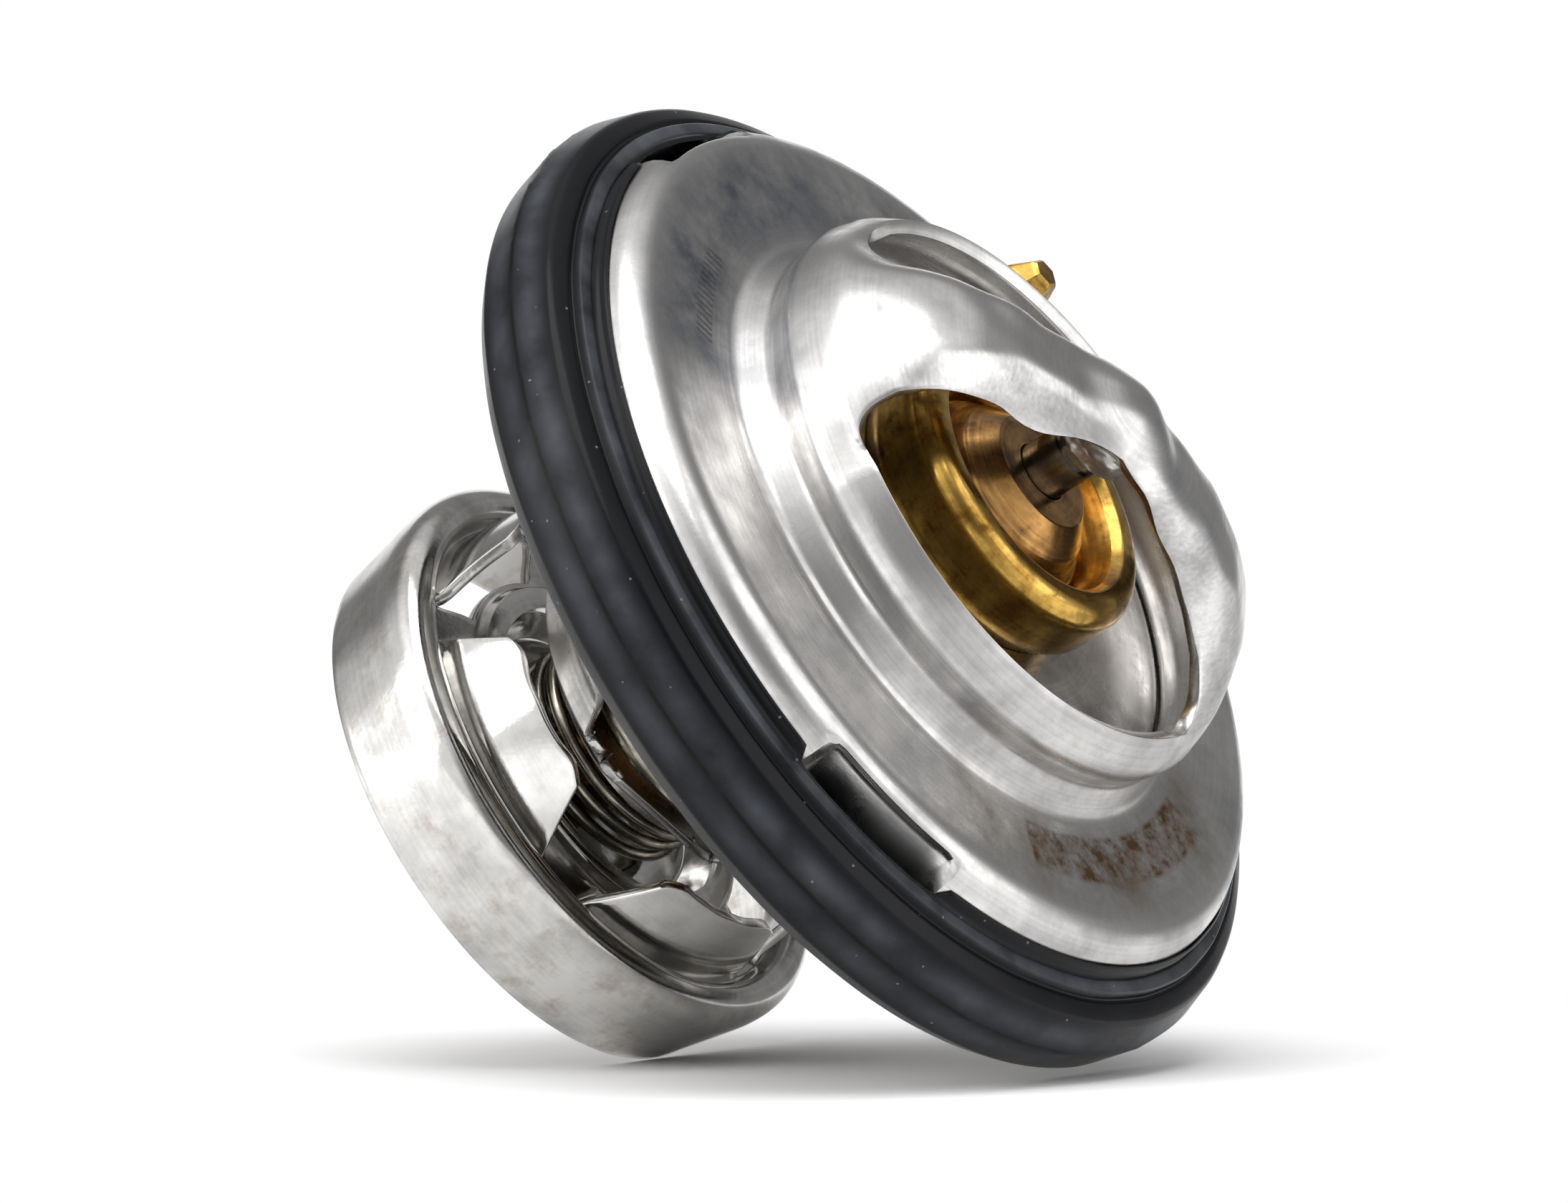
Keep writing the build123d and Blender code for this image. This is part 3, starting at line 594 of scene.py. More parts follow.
# ---------------------------------------------------------------- rubber ring
def rubber_seal():
    """Moulded rubber ring: drafted wall, parting flash, inner lip and a thin skirt on the metal."""
    line = divided(bent(SEAL_PROFILE, SEAL_BEND_STEPS), SEAL_STEP)
    bm = bmesh.new()
    rows = []
    for k in range(ROUND_STEPS):
        angle = 360 * k / ROUND_STEPS
        open_by = dent_share(angle, DENT_HALF + SKIRT_OPEN)
        row = []
        for p in line:
            q = around(p.x, angle, p.y)
            flash = 1 - smoothstep(0.0, FLASH_H, abs(p.y - PARTING_Z))
            ragged = sum((depth * noise.noise(q * rate) for depth, rate in FLASH_RAGGED), -FLASH_TORN)
            r = p.x + flash * min(0, ragged) * (p.x > WALL_FROM_R)
            r += SEAL_WAVE * noise.noise(q * SEAL_WAVE_RATE)
            skirt = max(0, p.y - SKIRT_FOOT_Z) * (p.x < SKIRT_R)
            row.append(around(r - SEAL_SHRINK, angle, p.y - skirt * open_by))
        rows.append(row)
    grid(bm, rows, wrap=True)
    return piece("moulded_ring_seal", bm, "housing", "rubber_seal")


# ---------------------------------------------------------------- bypass ring
def bypass_ring():
    """Ring valve: rim, crowned shoulder, web with openings, bent-up petals and spring cup."""
    shoulder = divided(bent(SHOULDER_PROFILE), SHOULDER_STEP)
    line = shoulder + divided(bent(WEB_PROFILE), WEB_STEP)[1:]
    sector = 360 / PETALS
    columns = GAP_COLUMNS + SPOKE_COLUMNS
    bm = bmesh.new()
    rows = []
    for k in range(PETALS):
        for c in range(columns):
            row = []
            for p in line:
                gap = GAP_IN_HALF + (PETAL_HALF - GAP_IN_HALF) * smoothstep(GAP_IN_R - 1, VALLEY_R, p.x)
                if c <= GAP_COLUMNS:
                    angle = -gap + 2 * gap * c / GAP_COLUMNS
                else:
                    angle = gap + (sector - 2 * gap) * (c - GAP_COLUMNS) / SPOKE_COLUMNS
                row.append(around(p.x, PETAL_ANGLE + sector * k + angle, p.y))
            rows.append(row)
    made = grid(bm, rows, wrap=True)
    valley = len(shoulder) - 1
    last = max(i for i, p in enumerate(line) if p.x >= GAP_IN_R - TINY)
    gone = []
    for k in range(PETALS):
        for c in range(GAP_COLUMNS):
            a = made[k * columns + c]
            b = made[k * columns + c + 1]
            for i in range(valley, last):
                corners = {a[i], a[i + 1], b[i], b[i + 1]}
                gone.extend(f for f in a[i].link_faces if corners == set(f.verts))
    bmesh.ops.delete(bm, geom=gone, context="FACES")
    for k in range(PETALS):
        feet = [made[k * columns + c][valley] for c in range(GAP_COLUMNS + 1)]
        grid(bm, petal_rows(PETAL_ANGLE + sector * k, feet))
    obj = piece("pressed_bypass_ring", bm, "bypass_valve", "bypass_ring")
    return thicken(obj, RING_SHEET, RING_EDGE)


def petal_rows(angle, feet):
    """One petal bent up from its feet in the valley, with a hollowed, round-cornered tip."""
    rows = [feet]
    across = len(feet) - 1
    for t in PETAL_LEVELS:
        row = []
        for c in range(across + 1):
            u = 2 * c / across - 1
            worn = PETAL_WORN * noise.noise(Vector((angle, PETAL_WORN_RATE * u, PETAL_WORN_SEED)))
            corner = PETAL_ROUND * max(0, (abs(u) - PETAL_ROUND_FROM) / (1 - PETAL_ROUND_FROM)) ** 2
            h = t * (PETAL_H - PETAL_DIP * (1 - u * u) - corner + worn)
            half = PETAL_HALF + (PETAL_TIP_HALF - PETAL_HALF) * h / PETAL_H
            bend = smoothstep(0, PETAL_BEND, t)
            r = VALLEY_R + (PETAL_R - VALLEY_R) * bend - PETAL_LEAN * (h / PETAL_H) ** 2
            row.append(around(r, angle + half * u, WEB_Z + h))
        rows.append(row)
    return rows


# ---------------------------------------------------------------- brass valve
def valve_shell():
    """Rolled brass shell with a sharp inner edge."""
    line = divided(bent(SHELL_PROFILE, SHELL_BEND_STEPS), SHELL_STEP)
    bm = bmesh.new()
    grid(bm, spun(line, SHELL_COLUMNS), wrap=True)
    obj = piece("rolled_brass_shell", bm, "wax_element", "valve_shell")
    return thicken(obj, SHELL_SHEET, SHELL_EDGE)


def element_guide():
    """Turned brass hub with a coned face."""
    bm = bmesh.new()
    grid(bm, spun(divided(bent(HUB_PROFILE), HUB_STEP), HUB_COLUMNS), wrap=True)
    return piece("brass_guide_hub", bm, "wax_element", "element_guide")


def jiggle_pin():
    """Brass vent pin: foot, shank and a stubby head pinched into facets."""
    bm = bmesh.new()
    line = divided(bent(JIGGLE_PROFILE), JIGGLE_STEP)
    offset = around(JIGGLE_R, JIGGLE_ANGLE, 0)
    rows = []
    for k in range(JIGGLE_COLUMNS):
        angle = 360 * k / JIGGLE_COLUMNS
        facet = JIGGLE_FLATS / math.cos(math.radians((angle + JIGGLE_FACET) % 60 - 30))
        row = []
        for p in line:
            pinched = smoothstep(JIGGLE_PINCH_LOW, JIGGLE_PINCH_HIGH, p.y)
            row.append(around(p.x * (1 + (facet - 1) * pinched), angle, p.y) + offset)
        rows.append(row)
    grid(bm, rows, wrap=True)
    return piece("brass_jiggle_pin", bm, "jiggle", "jiggle_pin")


# ---------------------------------------------------------------- springs
def coil(name, spring):
    """Round-wire spring wound between the lowest and highest point of its CAD node."""
    node, body, joint, travel, moving, wire, bottom_r, top_r, turns, end = spring
    low, high = (corner.z for corner in node_box(node))
    count = round(turns * COIL_STEPS)
    path = []
    for i in range(count + 1):
        share = i / count
        rise = share - end * math.sin(2 * math.pi * share) / (2 * math.pi)
        z = low + wire / 2 + (high - low - wire) * rise
        path.append(around(bottom_r + (top_r - bottom_r) * share, 360 * turns * share, z))
    bm = bmesh.new()
    rows = []
    for i, p in enumerate(path):
        along = (path[min(i + 1, count)] - path[max(i - 1, 0)]).normalized()
        out = Vector((p.x, p.y, 0)).normalized()
        side = along.cross(out).normalized()
        row = []
        for k in range(WIRE_SIDES + 1):
            turn = 2 * math.pi * k / WIRE_SIDES
            row.append(p + (out * math.cos(turn) + side * math.sin(turn)) * wire / 2)
        rows.append(row)
    made = grid(bm, rows)
    bm.faces.new(made[0][:-1])
    bm.faces.new(made[-1][:-1])
    obj = piece(name, bm, body, node)
    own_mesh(obj)
    return obj


main_spring = coil("wound_main_spring", MAIN_SPRING)
bypass_spring = coil("wound_bypass_spring", BYPASS_SPRING)
housing_piece = upper_housing()
socket_piece = pin_socket()
frame_piece = lower_frame()
seal_piece = rubber_seal()
ring_piece = bypass_ring()
shell_piece = valve_shell()
guide_piece = element_guide()
jiggle_piece = jiggle_pin()


# ---------------------------------------------------------------- materials
# Real draw lines, pits and skins are finer than this: they are as coarse as they have to be to show.
PIT_MM = 0.35
RELIEF_MM = 0.02           # depth of lines, pits and skin
CLOUD_DARK = 0.42          # cloud values that give a metal's dark and light colour
CLOUD_LIGHT = 0.70
LINES_IN_CLOUD = 0.15      # least share of the draw lines in the clouds
# painted shade in the grooves of the stamped bars
STAMP_SHADE_COLOUR = "#3d3d42"
STAMP_SHADE = 0.5
STAMP_DEPTH = -9.0         # against the pits' depth
STAMP_SOFT = 0.12
BAR_LENGTH = 0.314         # pitch of a wave texture's bars at a scale of 1
BLOOM_MM = 9.0
RUBBER_GRAIN_MM = 4.0
RUBBER_SKIN_MM = 0.5
DUST_MM = 1.6              # between specks
DUST_COLOUR = "#8a8a88"
ALL_ROUND = 200.0          # half width in degrees of an arc that has no ends

# colour, lower and upper height from the parting line, softness, inner and outer radius, cut
# The three grey bands are painted reflections on the outer wall and the lip's top; the black band is a
# painted shadow line along the parting.
RUBBER_PAINTED_LIGHT_BANDS = (
    ("#4a4d54", 0.5, 1.7, 0.7, 31.8, 34.0, 0.25, 0.85),
    ("#3c3f46", -2.0, -0.5, 0.6, 31.8, 34.0, 0.25, 0.90),
    ("#55585e", 3.4, 3.8, 0.2, 29.9, 30.8, 0.20, 0.80),
    ("#000000", -0.12, 0.12, 0.08, 32.0, 34.0, 0.30, 0.45),
)
# colour, middle and half width in degrees, inner and outer radius, softness, grain, cut, added roughness
# The three grey arcs are painted dark reflections; the brown arc at 317 degrees is the patch of ink.
HOUSING_STAINS_AND_PAINTED_REFLECTIONS = (
    ("#62666f", 158, 36, 20.8, 27.0, 2.2, 5.0, 0.30, 0.62, 0.12),
    ("#7d7468", 312, 40, 21.0, 27.0, 2.2, 4.0, 0.35, 0.70, 0.14),
    ("#6f7178", 85, 46, 20.8, 26.8, 2.2, 6.0, 0.35, 0.65, 0.10),
    ("#5a4228", 317, 26, 21.6, 24.9, 0.25, 1.3, 0.36, 0.60, 0.25),
)
RING_MARKS = (
    ("#9a8a76", 180, 180, 17.0, 20.0, 0.25, 2.6, 0.52, 0.80, 0.12),
)
# painted dark reflection: a darker brown ring on the shell's outer wall
SHELL_PAINTED_REFLECTION = (
    ("#4a3416", 180, 180, 8.6, 10.4, 0.25, 1.8, 0.55, 0.75, 0.15),
)
# middle and half width in degrees, inner and outer radius, pitch of the bars
HOUSING_STAMPS = (
    (176, 11, 22.2, 23.6, 0.55),
    (12, 5, 22.0, 23.4, 0.6),
)


def linear(code):
    """sRGB hex colour as linear RGBA."""
    out = []
    for k in (1, 3, 5):
        s = int(code[k:k + 2], 16) / 255
        out.append(s / 12.92 if s <= 0.04045 else ((s + 0.055) / 1.055) ** 2.4)
    return (*out, 1.0)


def add(tree, kind, settings=None, links=None):
    """Adds a node with its settings and links; a setting names an attribute or an input."""
    node = tree.nodes.new(kind)
    for key, value in (settings or {}).items():
        if isinstance(key, int) or key in node.inputs:
            node.inputs[key].default_value = value
        else:
            setattr(node, key, value)
    for key, source in (links or {}).items():
        socket = source.outputs[0] if isinstance(source, bpy.types.Node) else source
        tree.links.new(socket, node.inputs[key])
    return node


def finish_tree(name, metallic):
    """New material with a Principled shader; returns the material, its tree and the shader."""
    material = bpy.data.materials.new(name)
    material.use_nodes = True
    tree = material.node_tree
    tree.nodes.clear()
    shader = add(tree, "ShaderNodeBsdfPrincipled", {"Metallic": metallic})
    add(tree, "ShaderNodeOutputMaterial", None, {"Surface": shader})
    return material, tree, shader


def window(tree, value, low, high, soft):
    """Mask that is 1 where value lies between low and high."""
    rise = add(tree, "ShaderNodeMapRange", {"interpolation_type": "SMOOTHSTEP", "From Min": low - soft,
                                            "From Max": low + soft}, {"Value": value})
    fall = add(tree, "ShaderNodeMapRange", {"interpolation_type": "SMOOTHSTEP", "From Min": high + soft,
                                            "From Max": high - soft}, {"Value": value})
    return add(tree, "ShaderNodeMath", {"operation": "MULTIPLY"}, {0: rise, 1: fall})


def axis_radius(tree, place):
    """Distance from the part's axis, as a socket."""
    flat = add(tree, "ShaderNodeVectorMath", {"operation": "MULTIPLY", 1: (1, 1, 0)}, {0: place})
    return add(tree, "ShaderNodeVectorMath", {"operation": "LENGTH"}, {0: flat}).outputs["Value"]


def patch(tree, place, centre, half, low, high, soft=0.25):
    """Mask of an arc round the axis: centre and half width in degrees, radii and softness in mm."""
    spin = -math.radians(centre)
    half = math.radians(half)
    spun_place = add(tree, "ShaderNodeVectorRotate", {"rotation_type": "Z_AXIS", "Angle": spin},
                     {"Vector": place})
    parts = add(tree, "ShaderNodeSeparateXYZ", None, {0: spun_place})
    angle = add(tree, "ShaderNodeMath", {"operation": "ARCTAN2"},
                {0: parts.outputs["Y"], 1: parts.outputs["X"]})
    arc = window(tree, angle, -half, half, soft / high)
    band = window(tree, axis_radius(tree, place), low * MM, high * MM, soft * MM)
    return add(tree, "ShaderNodeMath", {"operation": "MULTIPLY"}, {0: arc, 1: band})


def broken(tree, mask, grain, low, high):
    """Mask broken up by a noise value between low and high."""
    share = add(tree, "ShaderNodeMapRange", {"From Min": low, "From Max": high}, {"Value": grain})
    return add(tree, "ShaderNodeMath", {"operation": "MULTIPLY"}, {0: mask, 1: share})


def stains_and_painted_reflections(tree, place, tone, gloss, marks):
    """Tone and gloss with arcs of a colour laid over them, broken up and duller: stains, and painted dark
    reflections.
    """
    for colour, centre, half, low, high, soft, grain_mm, cut_low, cut_high, matt in marks:
        scale = 1 / (grain_mm * MM)
        grain = add(tree, "ShaderNodeTexNoise", {"Scale": scale, "Detail": 8.0, "Roughness": 0.7},
                    {"Vector": place})
        mask = broken(tree, patch(tree, place, centre, half, low, high, soft), grain, cut_low, cut_high)
        tone = add(tree, "ShaderNodeMix", {"data_type": "RGBA", 7: linear(colour)},
                   {0: mask, 6: tone}).outputs[2]
        gloss = add(tree, "ShaderNodeMath", {"operation": "MULTIPLY_ADD", 1: matt}, {0: mask, 2: gloss})
    return tone, gloss


def stamped(tree, place, tone, relief, stamps):
    """Tone and relief with groups of bars stamped into them, whose grooves are darkened with painted shade.
    """
    for centre, half, low, high, pitch_mm in stamps:
        spin = -math.radians(centre)
        spun_place = add(tree, "ShaderNodeVectorRotate", {"rotation_type": "Z_AXIS", "Angle": spin},
                         {"Vector": place})
        scale = BAR_LENGTH / (pitch_mm * MM)
        bars = add(tree, "ShaderNodeTexWave", {"bands_direction": "Y", "Scale": scale, "Distortion": 1.5,
                                               "Detail Scale": 3.0}, {"Vector": spun_place})
        mask = patch(tree, place, centre, half, low, high, STAMP_SOFT)
        cut = add(tree, "ShaderNodeMath", {"operation": "MULTIPLY"}, {0: mask, 1: bars.outputs["Fac"]})
        shade = add(tree, "ShaderNodeMath", {"operation": "MULTIPLY", 1: STAMP_SHADE}, {0: cut})
        tone = add(tree, "ShaderNodeMix", {"data_type": "RGBA", 7: linear(STAMP_SHADE_COLOUR)},
                   {0: shade, 6: tone}).outputs[2]
        relief = add(tree, "ShaderNodeMath", {"operation": "MULTIPLY_ADD", 1: STAMP_DEPTH},
                     {0: cut, 2: relief})
    return tone, relief


def worked_metal(name, dark, light, smooth, rough, line_mm, cloud_mm, line_bump, marks=(), stamps=()):
    """Metal with marks running round the axis, a clouded polish, fine scratches and pits."""
    material, tree, shader = finish_tree(name, 1.0)
    place = add(tree, "ShaderNodeTexCoord").outputs["Object"]
    parts = add(tree, "ShaderNodeSeparateXYZ", None, {0: place})
    rings = add(tree, "ShaderNodeCombineXYZ", None, {"X": axis_radius(tree, place), "Y": parts.outputs["Z"]})
    lines = add(tree, "ShaderNodeTexNoise", {"Scale": 1 / (line_mm * MM), "Detail": 3.0}, {"Vector": rings})
    cloud = add(tree, "ShaderNodeTexNoise", {"Scale": 1 / (cloud_mm * MM), "Detail": 7.0, "Roughness": 0.62},
                {"Vector": place})
    pits = add(tree, "ShaderNodeTexNoise", {"Scale": 1 / (PIT_MM * MM), "Detail": 4.0}, {"Vector": place})
    both = add(tree, "ShaderNodeMath", {"operation": "MULTIPLY_ADD", 1: LINES_IN_CLOUD + line_bump / 4},
               {0: lines, 2: cloud})
    lift = line_bump / 8
    share = add(tree, "ShaderNodeMapRange", {"From Min": CLOUD_DARK + lift, "From Max": CLOUD_LIGHT + lift},
                {"Value": both})
    tone = add(tree, "ShaderNodeMix", {"data_type": "RGBA", 6: linear(dark), 7: linear(light)},
               {0: share}).outputs[2]
    gloss = add(tree, "ShaderNodeMapRange", {"To Min": rough, "To Max": smooth}, {"Value": share})
    relief = add(tree, "ShaderNodeMath", {"operation": "MULTIPLY_ADD", 1: line_bump}, {0: lines, 2: pits})
    tone, gloss = stains_and_painted_reflections(tree, place, tone, gloss, marks)
    tone, relief = stamped(tree, place, tone, relief, stamps)
    bump = add(tree, "ShaderNodeBump", {"Strength": 0.25, "Distance": RELIEF_MM * MM}, {"Height": relief})
    tree.links.new(tone, shader.inputs["Base Color"])
    tree.links.new(gloss.outputs[0], shader.inputs["Roughness"])
    tree.links.new(bump.outputs[0], shader.inputs["Normal"])
    return material


def moulded_rubber():
    """Compression-moulded black EPDM: the mould's fine skin gives near black with a low, soft gloss.

    A faint bloom greys it in places, dust specks sit on it, bands of painted reflection lighten the outer
    wall and the lip's top, and a painted shadow line runs dark along the mould's parting line.
    """
    material, tree, shader = finish_tree("moulded_epdm_rubber", 0.0)
    place = add(tree, "ShaderNodeTexCoord").outputs["Object"]
    parts = add(tree, "ShaderNodeSeparateXYZ", None, {0: place})
    bloom = add(tree, "ShaderNodeTexNoise", {"Scale": 1 / (BLOOM_MM * MM), "Detail": 7.0, "Roughness": 0.65},
                {"Vector": place})
    tone = add(tree, "ShaderNodeMix", {"data_type": "RGBA", 6: linear("#050608"), 7: linear("#0e0f14")},
               {0: bloom}).outputs[2]
    grain = add(tree, "ShaderNodeTexNoise", {"Scale": 1 / (RUBBER_GRAIN_MM * MM), "Detail": 5.0},
                {"Vector": place})
    # lays the painted reflection bands and the painted shadow line over the tone
    for colour, low, high, soft, inner, outer, cut_low, cut_high in RUBBER_PAINTED_LIGHT_BANDS:
        level = window(tree, parts.outputs["Z"], (PARTING_Z + low) * MM, (PARTING_Z + high) * MM, soft * MM)
        arc = patch(tree, place, 0, ALL_ROUND, inner, outer)
        mask = add(tree, "ShaderNodeMath", {"operation": "MULTIPLY"}, {0: level, 1: arc})
        tone = add(tree, "ShaderNodeMix", {"data_type": "RGBA", 7: linear(colour)},
                   {0: broken(tree, mask, grain, cut_low, cut_high), 6: tone}).outputs[2]
    dust = add(tree, "ShaderNodeTexVoronoi", {"Scale": 1 / (DUST_MM * MM)}, {"Vector": place})
    speck = add(tree, "ShaderNodeMapRange", {"From Min": 0.07, "From Max": 0.04, "To Max": 0.5},
                {"Value": dust.outputs["Distance"]})
    dusty = add(tree, "ShaderNodeMix", {"data_type": "RGBA", 7: linear(DUST_COLOUR)}, {0: speck, 6: tone})
    rough = add(tree, "ShaderNodeMapRange", {"From Min": 0.3, "From Max": 0.75, "To Min": 0.2,
                                             "To Max": 0.34}, {"Value": bloom})
    skin = add(tree, "ShaderNodeTexNoise", {"Scale": 1 / (RUBBER_SKIN_MM * MM), "Detail": 4.0},
               {"Vector": place})
    bump = add(tree, "ShaderNodeBump", {"Strength": 0.3, "Distance": RELIEF_MM * MM}, {"Height": skin})
    shader.inputs["Specular IOR Level"].default_value = 0.15
    tree.links.new(dusty.outputs[2], shader.inputs["Base Color"])
    tree.links.new(rough.outputs[0], shader.inputs["Roughness"])
    tree.links.new(bump.outputs[0], shader.inputs["Normal"])
    return material


black_rubber = moulded_rubber()

# Stainless sheet deep drawn in a press and tumbled: soft clouds where the draw stretched it, faint
# draw lines round the axis and a half gloss that blurs what it mirrors. Three broad grey arcs of
# painted dark reflection lie on the flange; it carries a patch of brown ink and is stamped with bars,
# which are darkened with painted shade.
housing_steel = worked_metal(
    "deep_drawn_stainless", "#a3a2a2", "#dcdad8", smooth=0.2, rough=0.38,
    line_mm=0.25, cloud_mm=7.0, line_bump=0.4, marks=HOUSING_STAINS_AND_PAINTED_REFLECTIONS, stamps=HOUSING_STAMPS,
)
# Stainless strip with a satin mill finish, pressed to shape: an even, slightly greyer half gloss.
satin_steel = worked_metal(
    "satin_pressed_stainless", "#9c9a98", "#d6d4d1", smooth=0.2, rough=0.38,
    line_mm=0.3, cloud_mm=5.0, line_bump=0.3,
)
# Stainless drawn in polished tools: a near mirror with sharp reflections and faint brown stains on
# its shoulder.
bright_steel = worked_metal(
    "polished_drawn_stainless", "#aeadab", "#dedcd9", smooth=0.08, rough=0.2,
    line_mm=0.3, cloud_mm=6.0, line_bump=0.12, marks=RING_MARKS,
)
# Stainless squeezed cold by a punch: crumpled and nearly matt, so that it scatters what light it gets.
coined_steel = worked_metal(
    "coined_stainless", "#a3a2a0", "#dddbd8", smooth=0.4, rough=0.58,
    line_mm=0.5, cloud_mm=1.2, line_bump=0.2,
)
# Hard-drawn spring wire: a warm grey with the die's sheen along the wire.
spring_steel = worked_metal(
    "drawn_spring_wire", "#7d786c", "#c6c0b2", smooth=0.18, rough=0.34,
    line_mm=0.3, cloud_mm=3.0, line_bump=0.2,
)
# Hardened steel, centreless ground: dark, with fine grinding rings and a tight highlight.
ground_steel = worked_metal(
    "ground_pin_steel", "#5f5d5b", "#9b9894", smooth=0.15, rough=0.3,
    line_mm=0.15, cloud_mm=2.0, line_bump=0.8,
)
# Brass sheet rolled over a former: a bright warm yellow with rolling lines, and a darker brown ring
# of painted reflection on the shell's outer wall.
bright_brass = worked_metal(
    "rolled_brass", "#765220", "#d6ad58", smooth=0.14, rough=0.34,
    line_mm=0.3, cloud_mm=2.5, line_bump=0.4, marks=SHELL_PAINTED_REFLECTION,
)
# Brass turned on a lathe and left to tarnish: deep tool rings, browner and duller.
dull_brass = worked_metal(
    "turned_brass", "#63452a", "#bd8f55", smooth=0.22, rough=0.4,
    line_mm=0.25, cloud_mm=3.0, line_bump=0.8,
)

FINISH = (
    (housing_steel, (housing_piece,)),
    (satin_steel, (frame_piece,)),
    (coined_steel, (socket_piece,)),
    (bright_steel, (ring_piece,)),
    (spring_steel, (main_spring, bypass_spring)),
    (black_rubber, (seal_piece,)),
    (bright_brass, (shell_piece, jiggle_piece)),
    (dull_brass, (guide_piece,)),
)
CAD_FINISH = (
    (ground_steel, ("piston_pin", "retaining_clip")),
    (satin_steel, ("valve_disc", "spring_seat_washer")),
    (dull_brass, ("wax_cup", "wax_charge", "seal_ring")),
    (black_rubber, ("rubber_boot",)),
)
for finish, pieces in FINISH:
    for obj in pieces:
        obj.data.materials.append(finish)
for finish, nodes in CAD_FINISH:
    for node in nodes:
        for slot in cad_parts[node].material_slots:
            slot.material = finish


# ---------------------------------------------------------------- camera
CAMERA_AT = Vector((-466.87, -773.22, 469.29)) * MM
CAMERA_RIGHT = Vector((0.65882, 0.03728, 0.75137))
CAMERA_UP = Vector((-0.59392, 0.63880, 0.48907))
CAMERA_BACK = CAMERA_RIGHT.cross(CAMERA_UP)
LENS = 374.1
SENSOR_W = 36.0

camera_data = bpy.data.cameras.new("camera")
camera_data.lens = LENS
camera_data.sensor_width = SENSOR_W
camera_data.clip_start = 0.01
camera_data.clip_end = 50
camera = bpy.data.objects.new("camera", camera_data)
bpy.context.scene.collection.objects.link(camera)
turn = Matrix((CAMERA_RIGHT, CAMERA_UP, CAMERA_BACK)).transposed()
camera.matrix_world = Matrix.Translation(CAMERA_AT) @ turn.to_4x4()
bpy.context.scene.camera = camera


# ---------------------------------------------------------------- room and lamps
TABLE_UP = Vector((-0.615, 0.602, 0.510)).normalized()   # the part lies on its side
ROOM_LEVEL = 0.26          # grey of the room, which the panels add to
# right, up and towards the camera, where the panel starts and is full, brightness
PANELS = (
    (-0.90, 0.10, 0.45, 0.35, 0.75, 0.72),
    (-0.10, 1.00, 0.20, 0.55, 0.85, 0.60),
    (0.00, -1.00, 0.00, -0.02, 0.12, 0.55),
    (0.95, 0.00, 0.35, 0.70, 0.93, 0.50),
)
BACKDROP_FROM = 0.86       # cosine where the white backdrop's edge starts
BACKDROP_FULL = 0.94

world = bpy.data.worlds.new("studio")
bpy.context.scene.world = world
world.use_nodes = True
tree = world.node_tree
tree.nodes.clear()
aim = add(tree, "ShaderNodeTexCoord").outputs["Generated"]
level = None
for right, up, back, start, full, brightness in PANELS:
    axis = (CAMERA_RIGHT * right + CAMERA_UP * up + CAMERA_BACK * back).normalized()
    faced = add(tree, "ShaderNodeVectorMath", {"operation": "DOT_PRODUCT", 1: axis}, {0: aim})
    panel = add(tree, "ShaderNodeMapRange", {"interpolation_type": "SMOOTHSTEP", "From Min": start,
                                             "From Max": full, "To Max": brightness},
                {"Value": faced.outputs["Value"]})
    total = add(tree, "ShaderNodeMath", {"operation": "ADD", 1: ROOM_LEVEL}, {0: panel})
    if level:
        tree.links.new(level.outputs[0], total.inputs[1])
    level = total
room = add(tree, "ShaderNodeBackground", {"Strength": 1.0}, {"Color": level})
white = add(tree, "ShaderNodeBackground", {"Color": (1, 1, 1, 1), "Strength": 1.0})
path = add(tree, "ShaderNodeLightPath")
behind = add(tree, "ShaderNodeVectorMath", {"operation": "DOT_PRODUCT", 1: -CAMERA_BACK}, {0: aim})
backdrop = add(tree, "ShaderNodeMapRange", {"interpolation_type": "SMOOTHSTEP", "From Min": BACKDROP_FROM,
                                            "From Max": BACKDROP_FULL}, {"Value": behind.outputs["Value"]})
mirrored = add(tree, "ShaderNodeMath", {"operation": "MULTIPLY"},
               {0: path.outputs["Is Glossy Ray"], 1: backdrop})
straight = add(tree, "ShaderNodeMath", {"operation": "MAXIMUM"},
               {0: path.outputs["Is Camera Ray"], 1: path.outputs["Is Transmission Ray"]})
seen = add(tree, "ShaderNodeMath", {"operation": "MAXIMUM"}, {0: straight, 1: mirrored})
mix = add(tree, "ShaderNodeMixShader", None, {0: seen, 1: room, 2: white})
add(tree, "ShaderNodeOutputWorld", None, {"Surface": mix})

LAMP_AIM = Vector((0, 0, 28)) * MM
LAMP_DISTANCE = 0.6        # metres
# name, direction from the part, width and height in metres, watts
SOFTBOXES = (
    ("top_softbox", TABLE_UP + CAMERA_BACK * 0.3, (0.5, 0.5), 2.2),
    ("left_softbox", TABLE_UP * 0.4 - CAMERA_RIGHT + CAMERA_BACK * 0.4, (0.4, 0.7), 1.3),
    ("right_softbox", TABLE_UP * 0.4 + CAMERA_RIGHT + CAMERA_BACK * 0.4, (0.4, 0.7), 1.0),
)
for name, direction, size, power in SOFTBOXES:
    lamp_data = bpy.data.lights.new(name, "AREA")
    lamp_data.shape = "RECTANGLE"
    lamp_data.size, lamp_data.size_y = size
    lamp_data.energy = power
    lamp = bpy.data.objects.new(name, lamp_data)
    lamp.location = LAMP_AIM + direction.normalized() * LAMP_DISTANCE
    lamp.rotation_euler = (LAMP_AIM - lamp.location).to_track_quat("-Z", "Y").to_euler()
    bpy.context.scene.collection.objects.link(lamp)


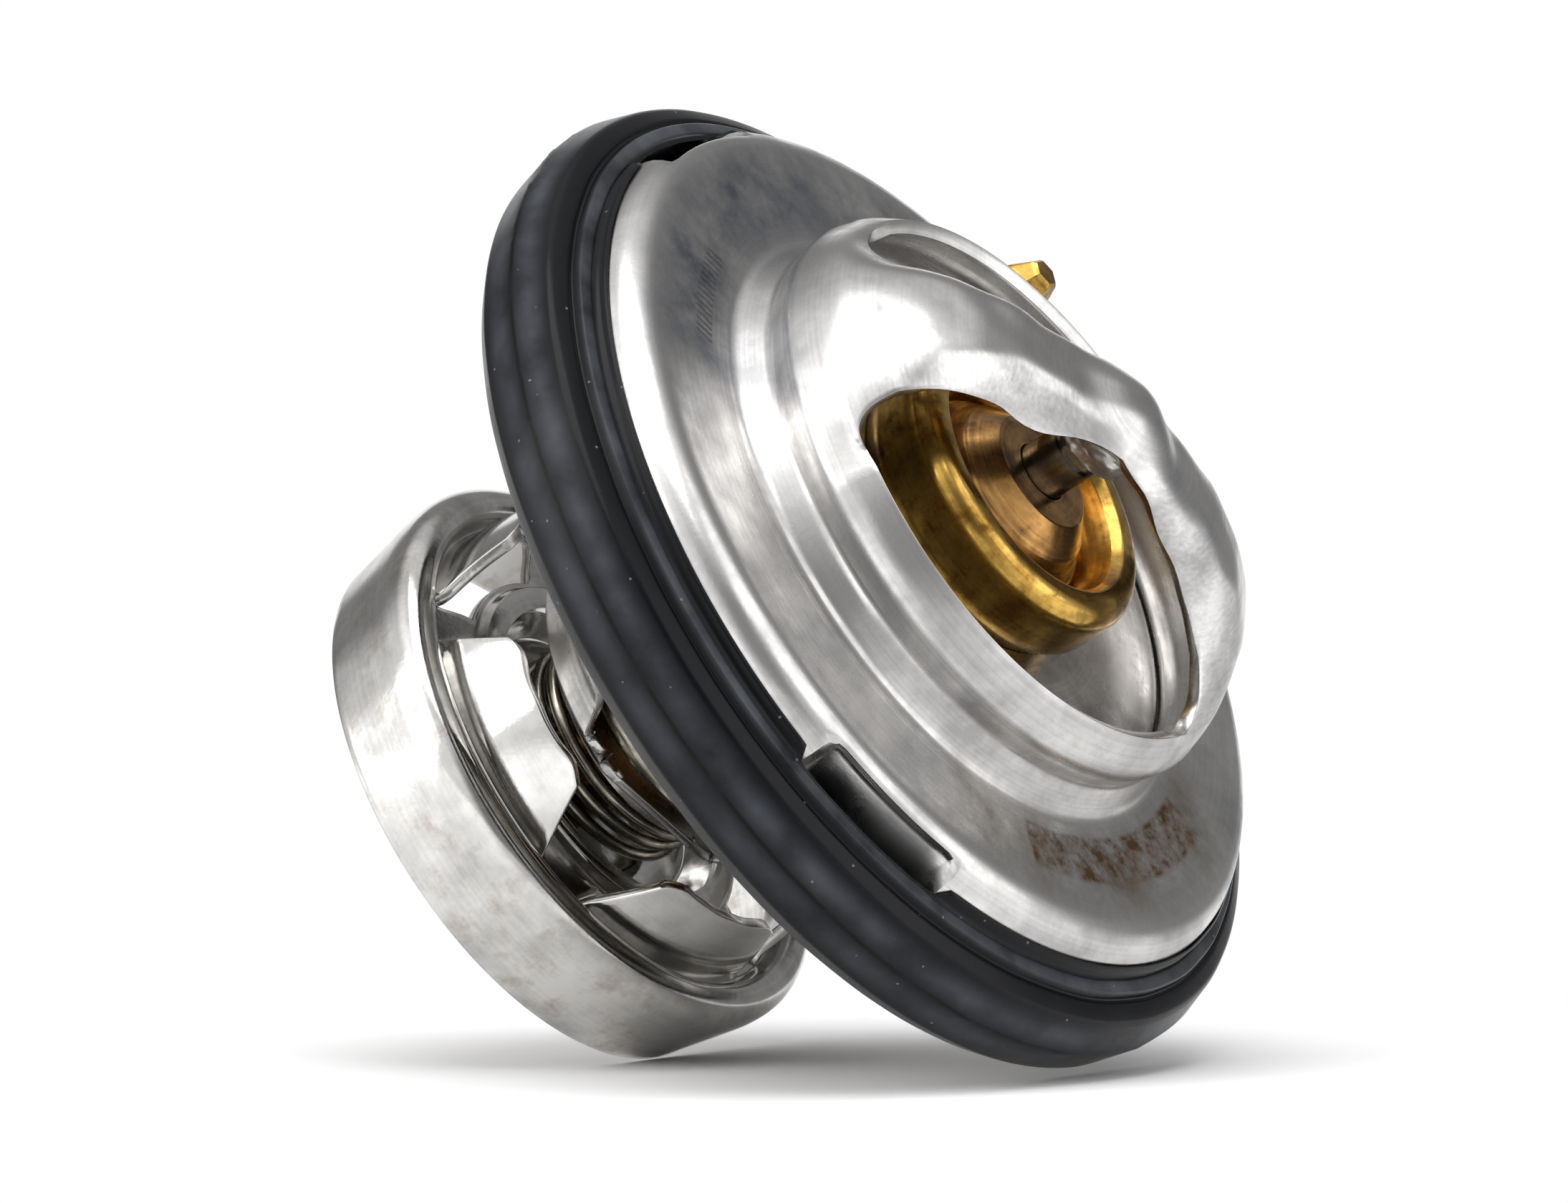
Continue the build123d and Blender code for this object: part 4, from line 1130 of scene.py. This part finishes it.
# ---------------------------------------------------------------- floor
FLOOR_R = 85.0
FLOOR_CLEAR_R = 22.0       # where the floor starts to fade into the backdrop
FLOOR_GONE_R = FLOOR_R * 0.95
FLOOR_SIDES = 96
FLOOR_MIDDLE = Vector((6, -12, 14)) * MM      # point of the part above the floor's middle
FLOOR_COLOUR = "#fbfbfb"
RING_FOOT = around(17.9, -44.4, -0.05) * MM   # the point of the bypass ring that the part rests on


def floor():
    """White paper on a table, matt: it takes a soft shadow and fades into the white backdrop.

    Seen from below it is see-through, so that it hides nothing.
    """
    bm = bmesh.new()
    bmesh.ops.create_circle(bm, cap_ends=True, segments=FLOOR_SIDES, radius=FLOOR_R * MM)
    mesh = bpy.data.meshes.new("table")
    bm.to_mesh(mesh)
    bm.free()
    obj = bpy.data.objects.new("table", mesh)
    bpy.context.scene.collection.objects.link(obj)
    drop = (FLOOR_MIDDLE - RING_FOOT).dot(TABLE_UP)
    spin = TABLE_UP.to_track_quat("Z", "Y")
    obj.matrix_world = Matrix.Translation(FLOOR_MIDDLE - TABLE_UP * drop) @ spin.to_matrix().to_4x4()
    material = bpy.data.materials.new("white_table_sheet")
    material.use_nodes = True
    tree = material.node_tree
    tree.nodes.clear()
    place = add(tree, "ShaderNodeTexCoord").outputs["Object"]
    reach = add(tree, "ShaderNodeVectorMath", {"operation": "LENGTH"}, {0: place})
    fade = add(tree, "ShaderNodeMapRange", {"interpolation_type": "SMOOTHSTEP",
                                            "From Min": FLOOR_CLEAR_R * MM,
                                            "From Max": FLOOR_GONE_R * MM},
               {"Value": reach.outputs["Value"]})
    under = add(tree, "ShaderNodeNewGeometry").outputs["Backfacing"]
    open_share = add(tree, "ShaderNodeMath", {"operation": "MAXIMUM"}, {0: fade, 1: under})
    sheet = add(tree, "ShaderNodeBsdfDiffuse", {"Color": linear(FLOOR_COLOUR)})
    clear = add(tree, "ShaderNodeBsdfTransparent")
    mix = add(tree, "ShaderNodeMixShader", None, {0: open_share, 1: sheet, 2: clear})
    add(tree, "ShaderNodeOutputMaterial", None, {"Surface": mix})
    mesh.materials.append(material)


floor()

bpy.context.scene.view_settings.view_transform = "Standard"
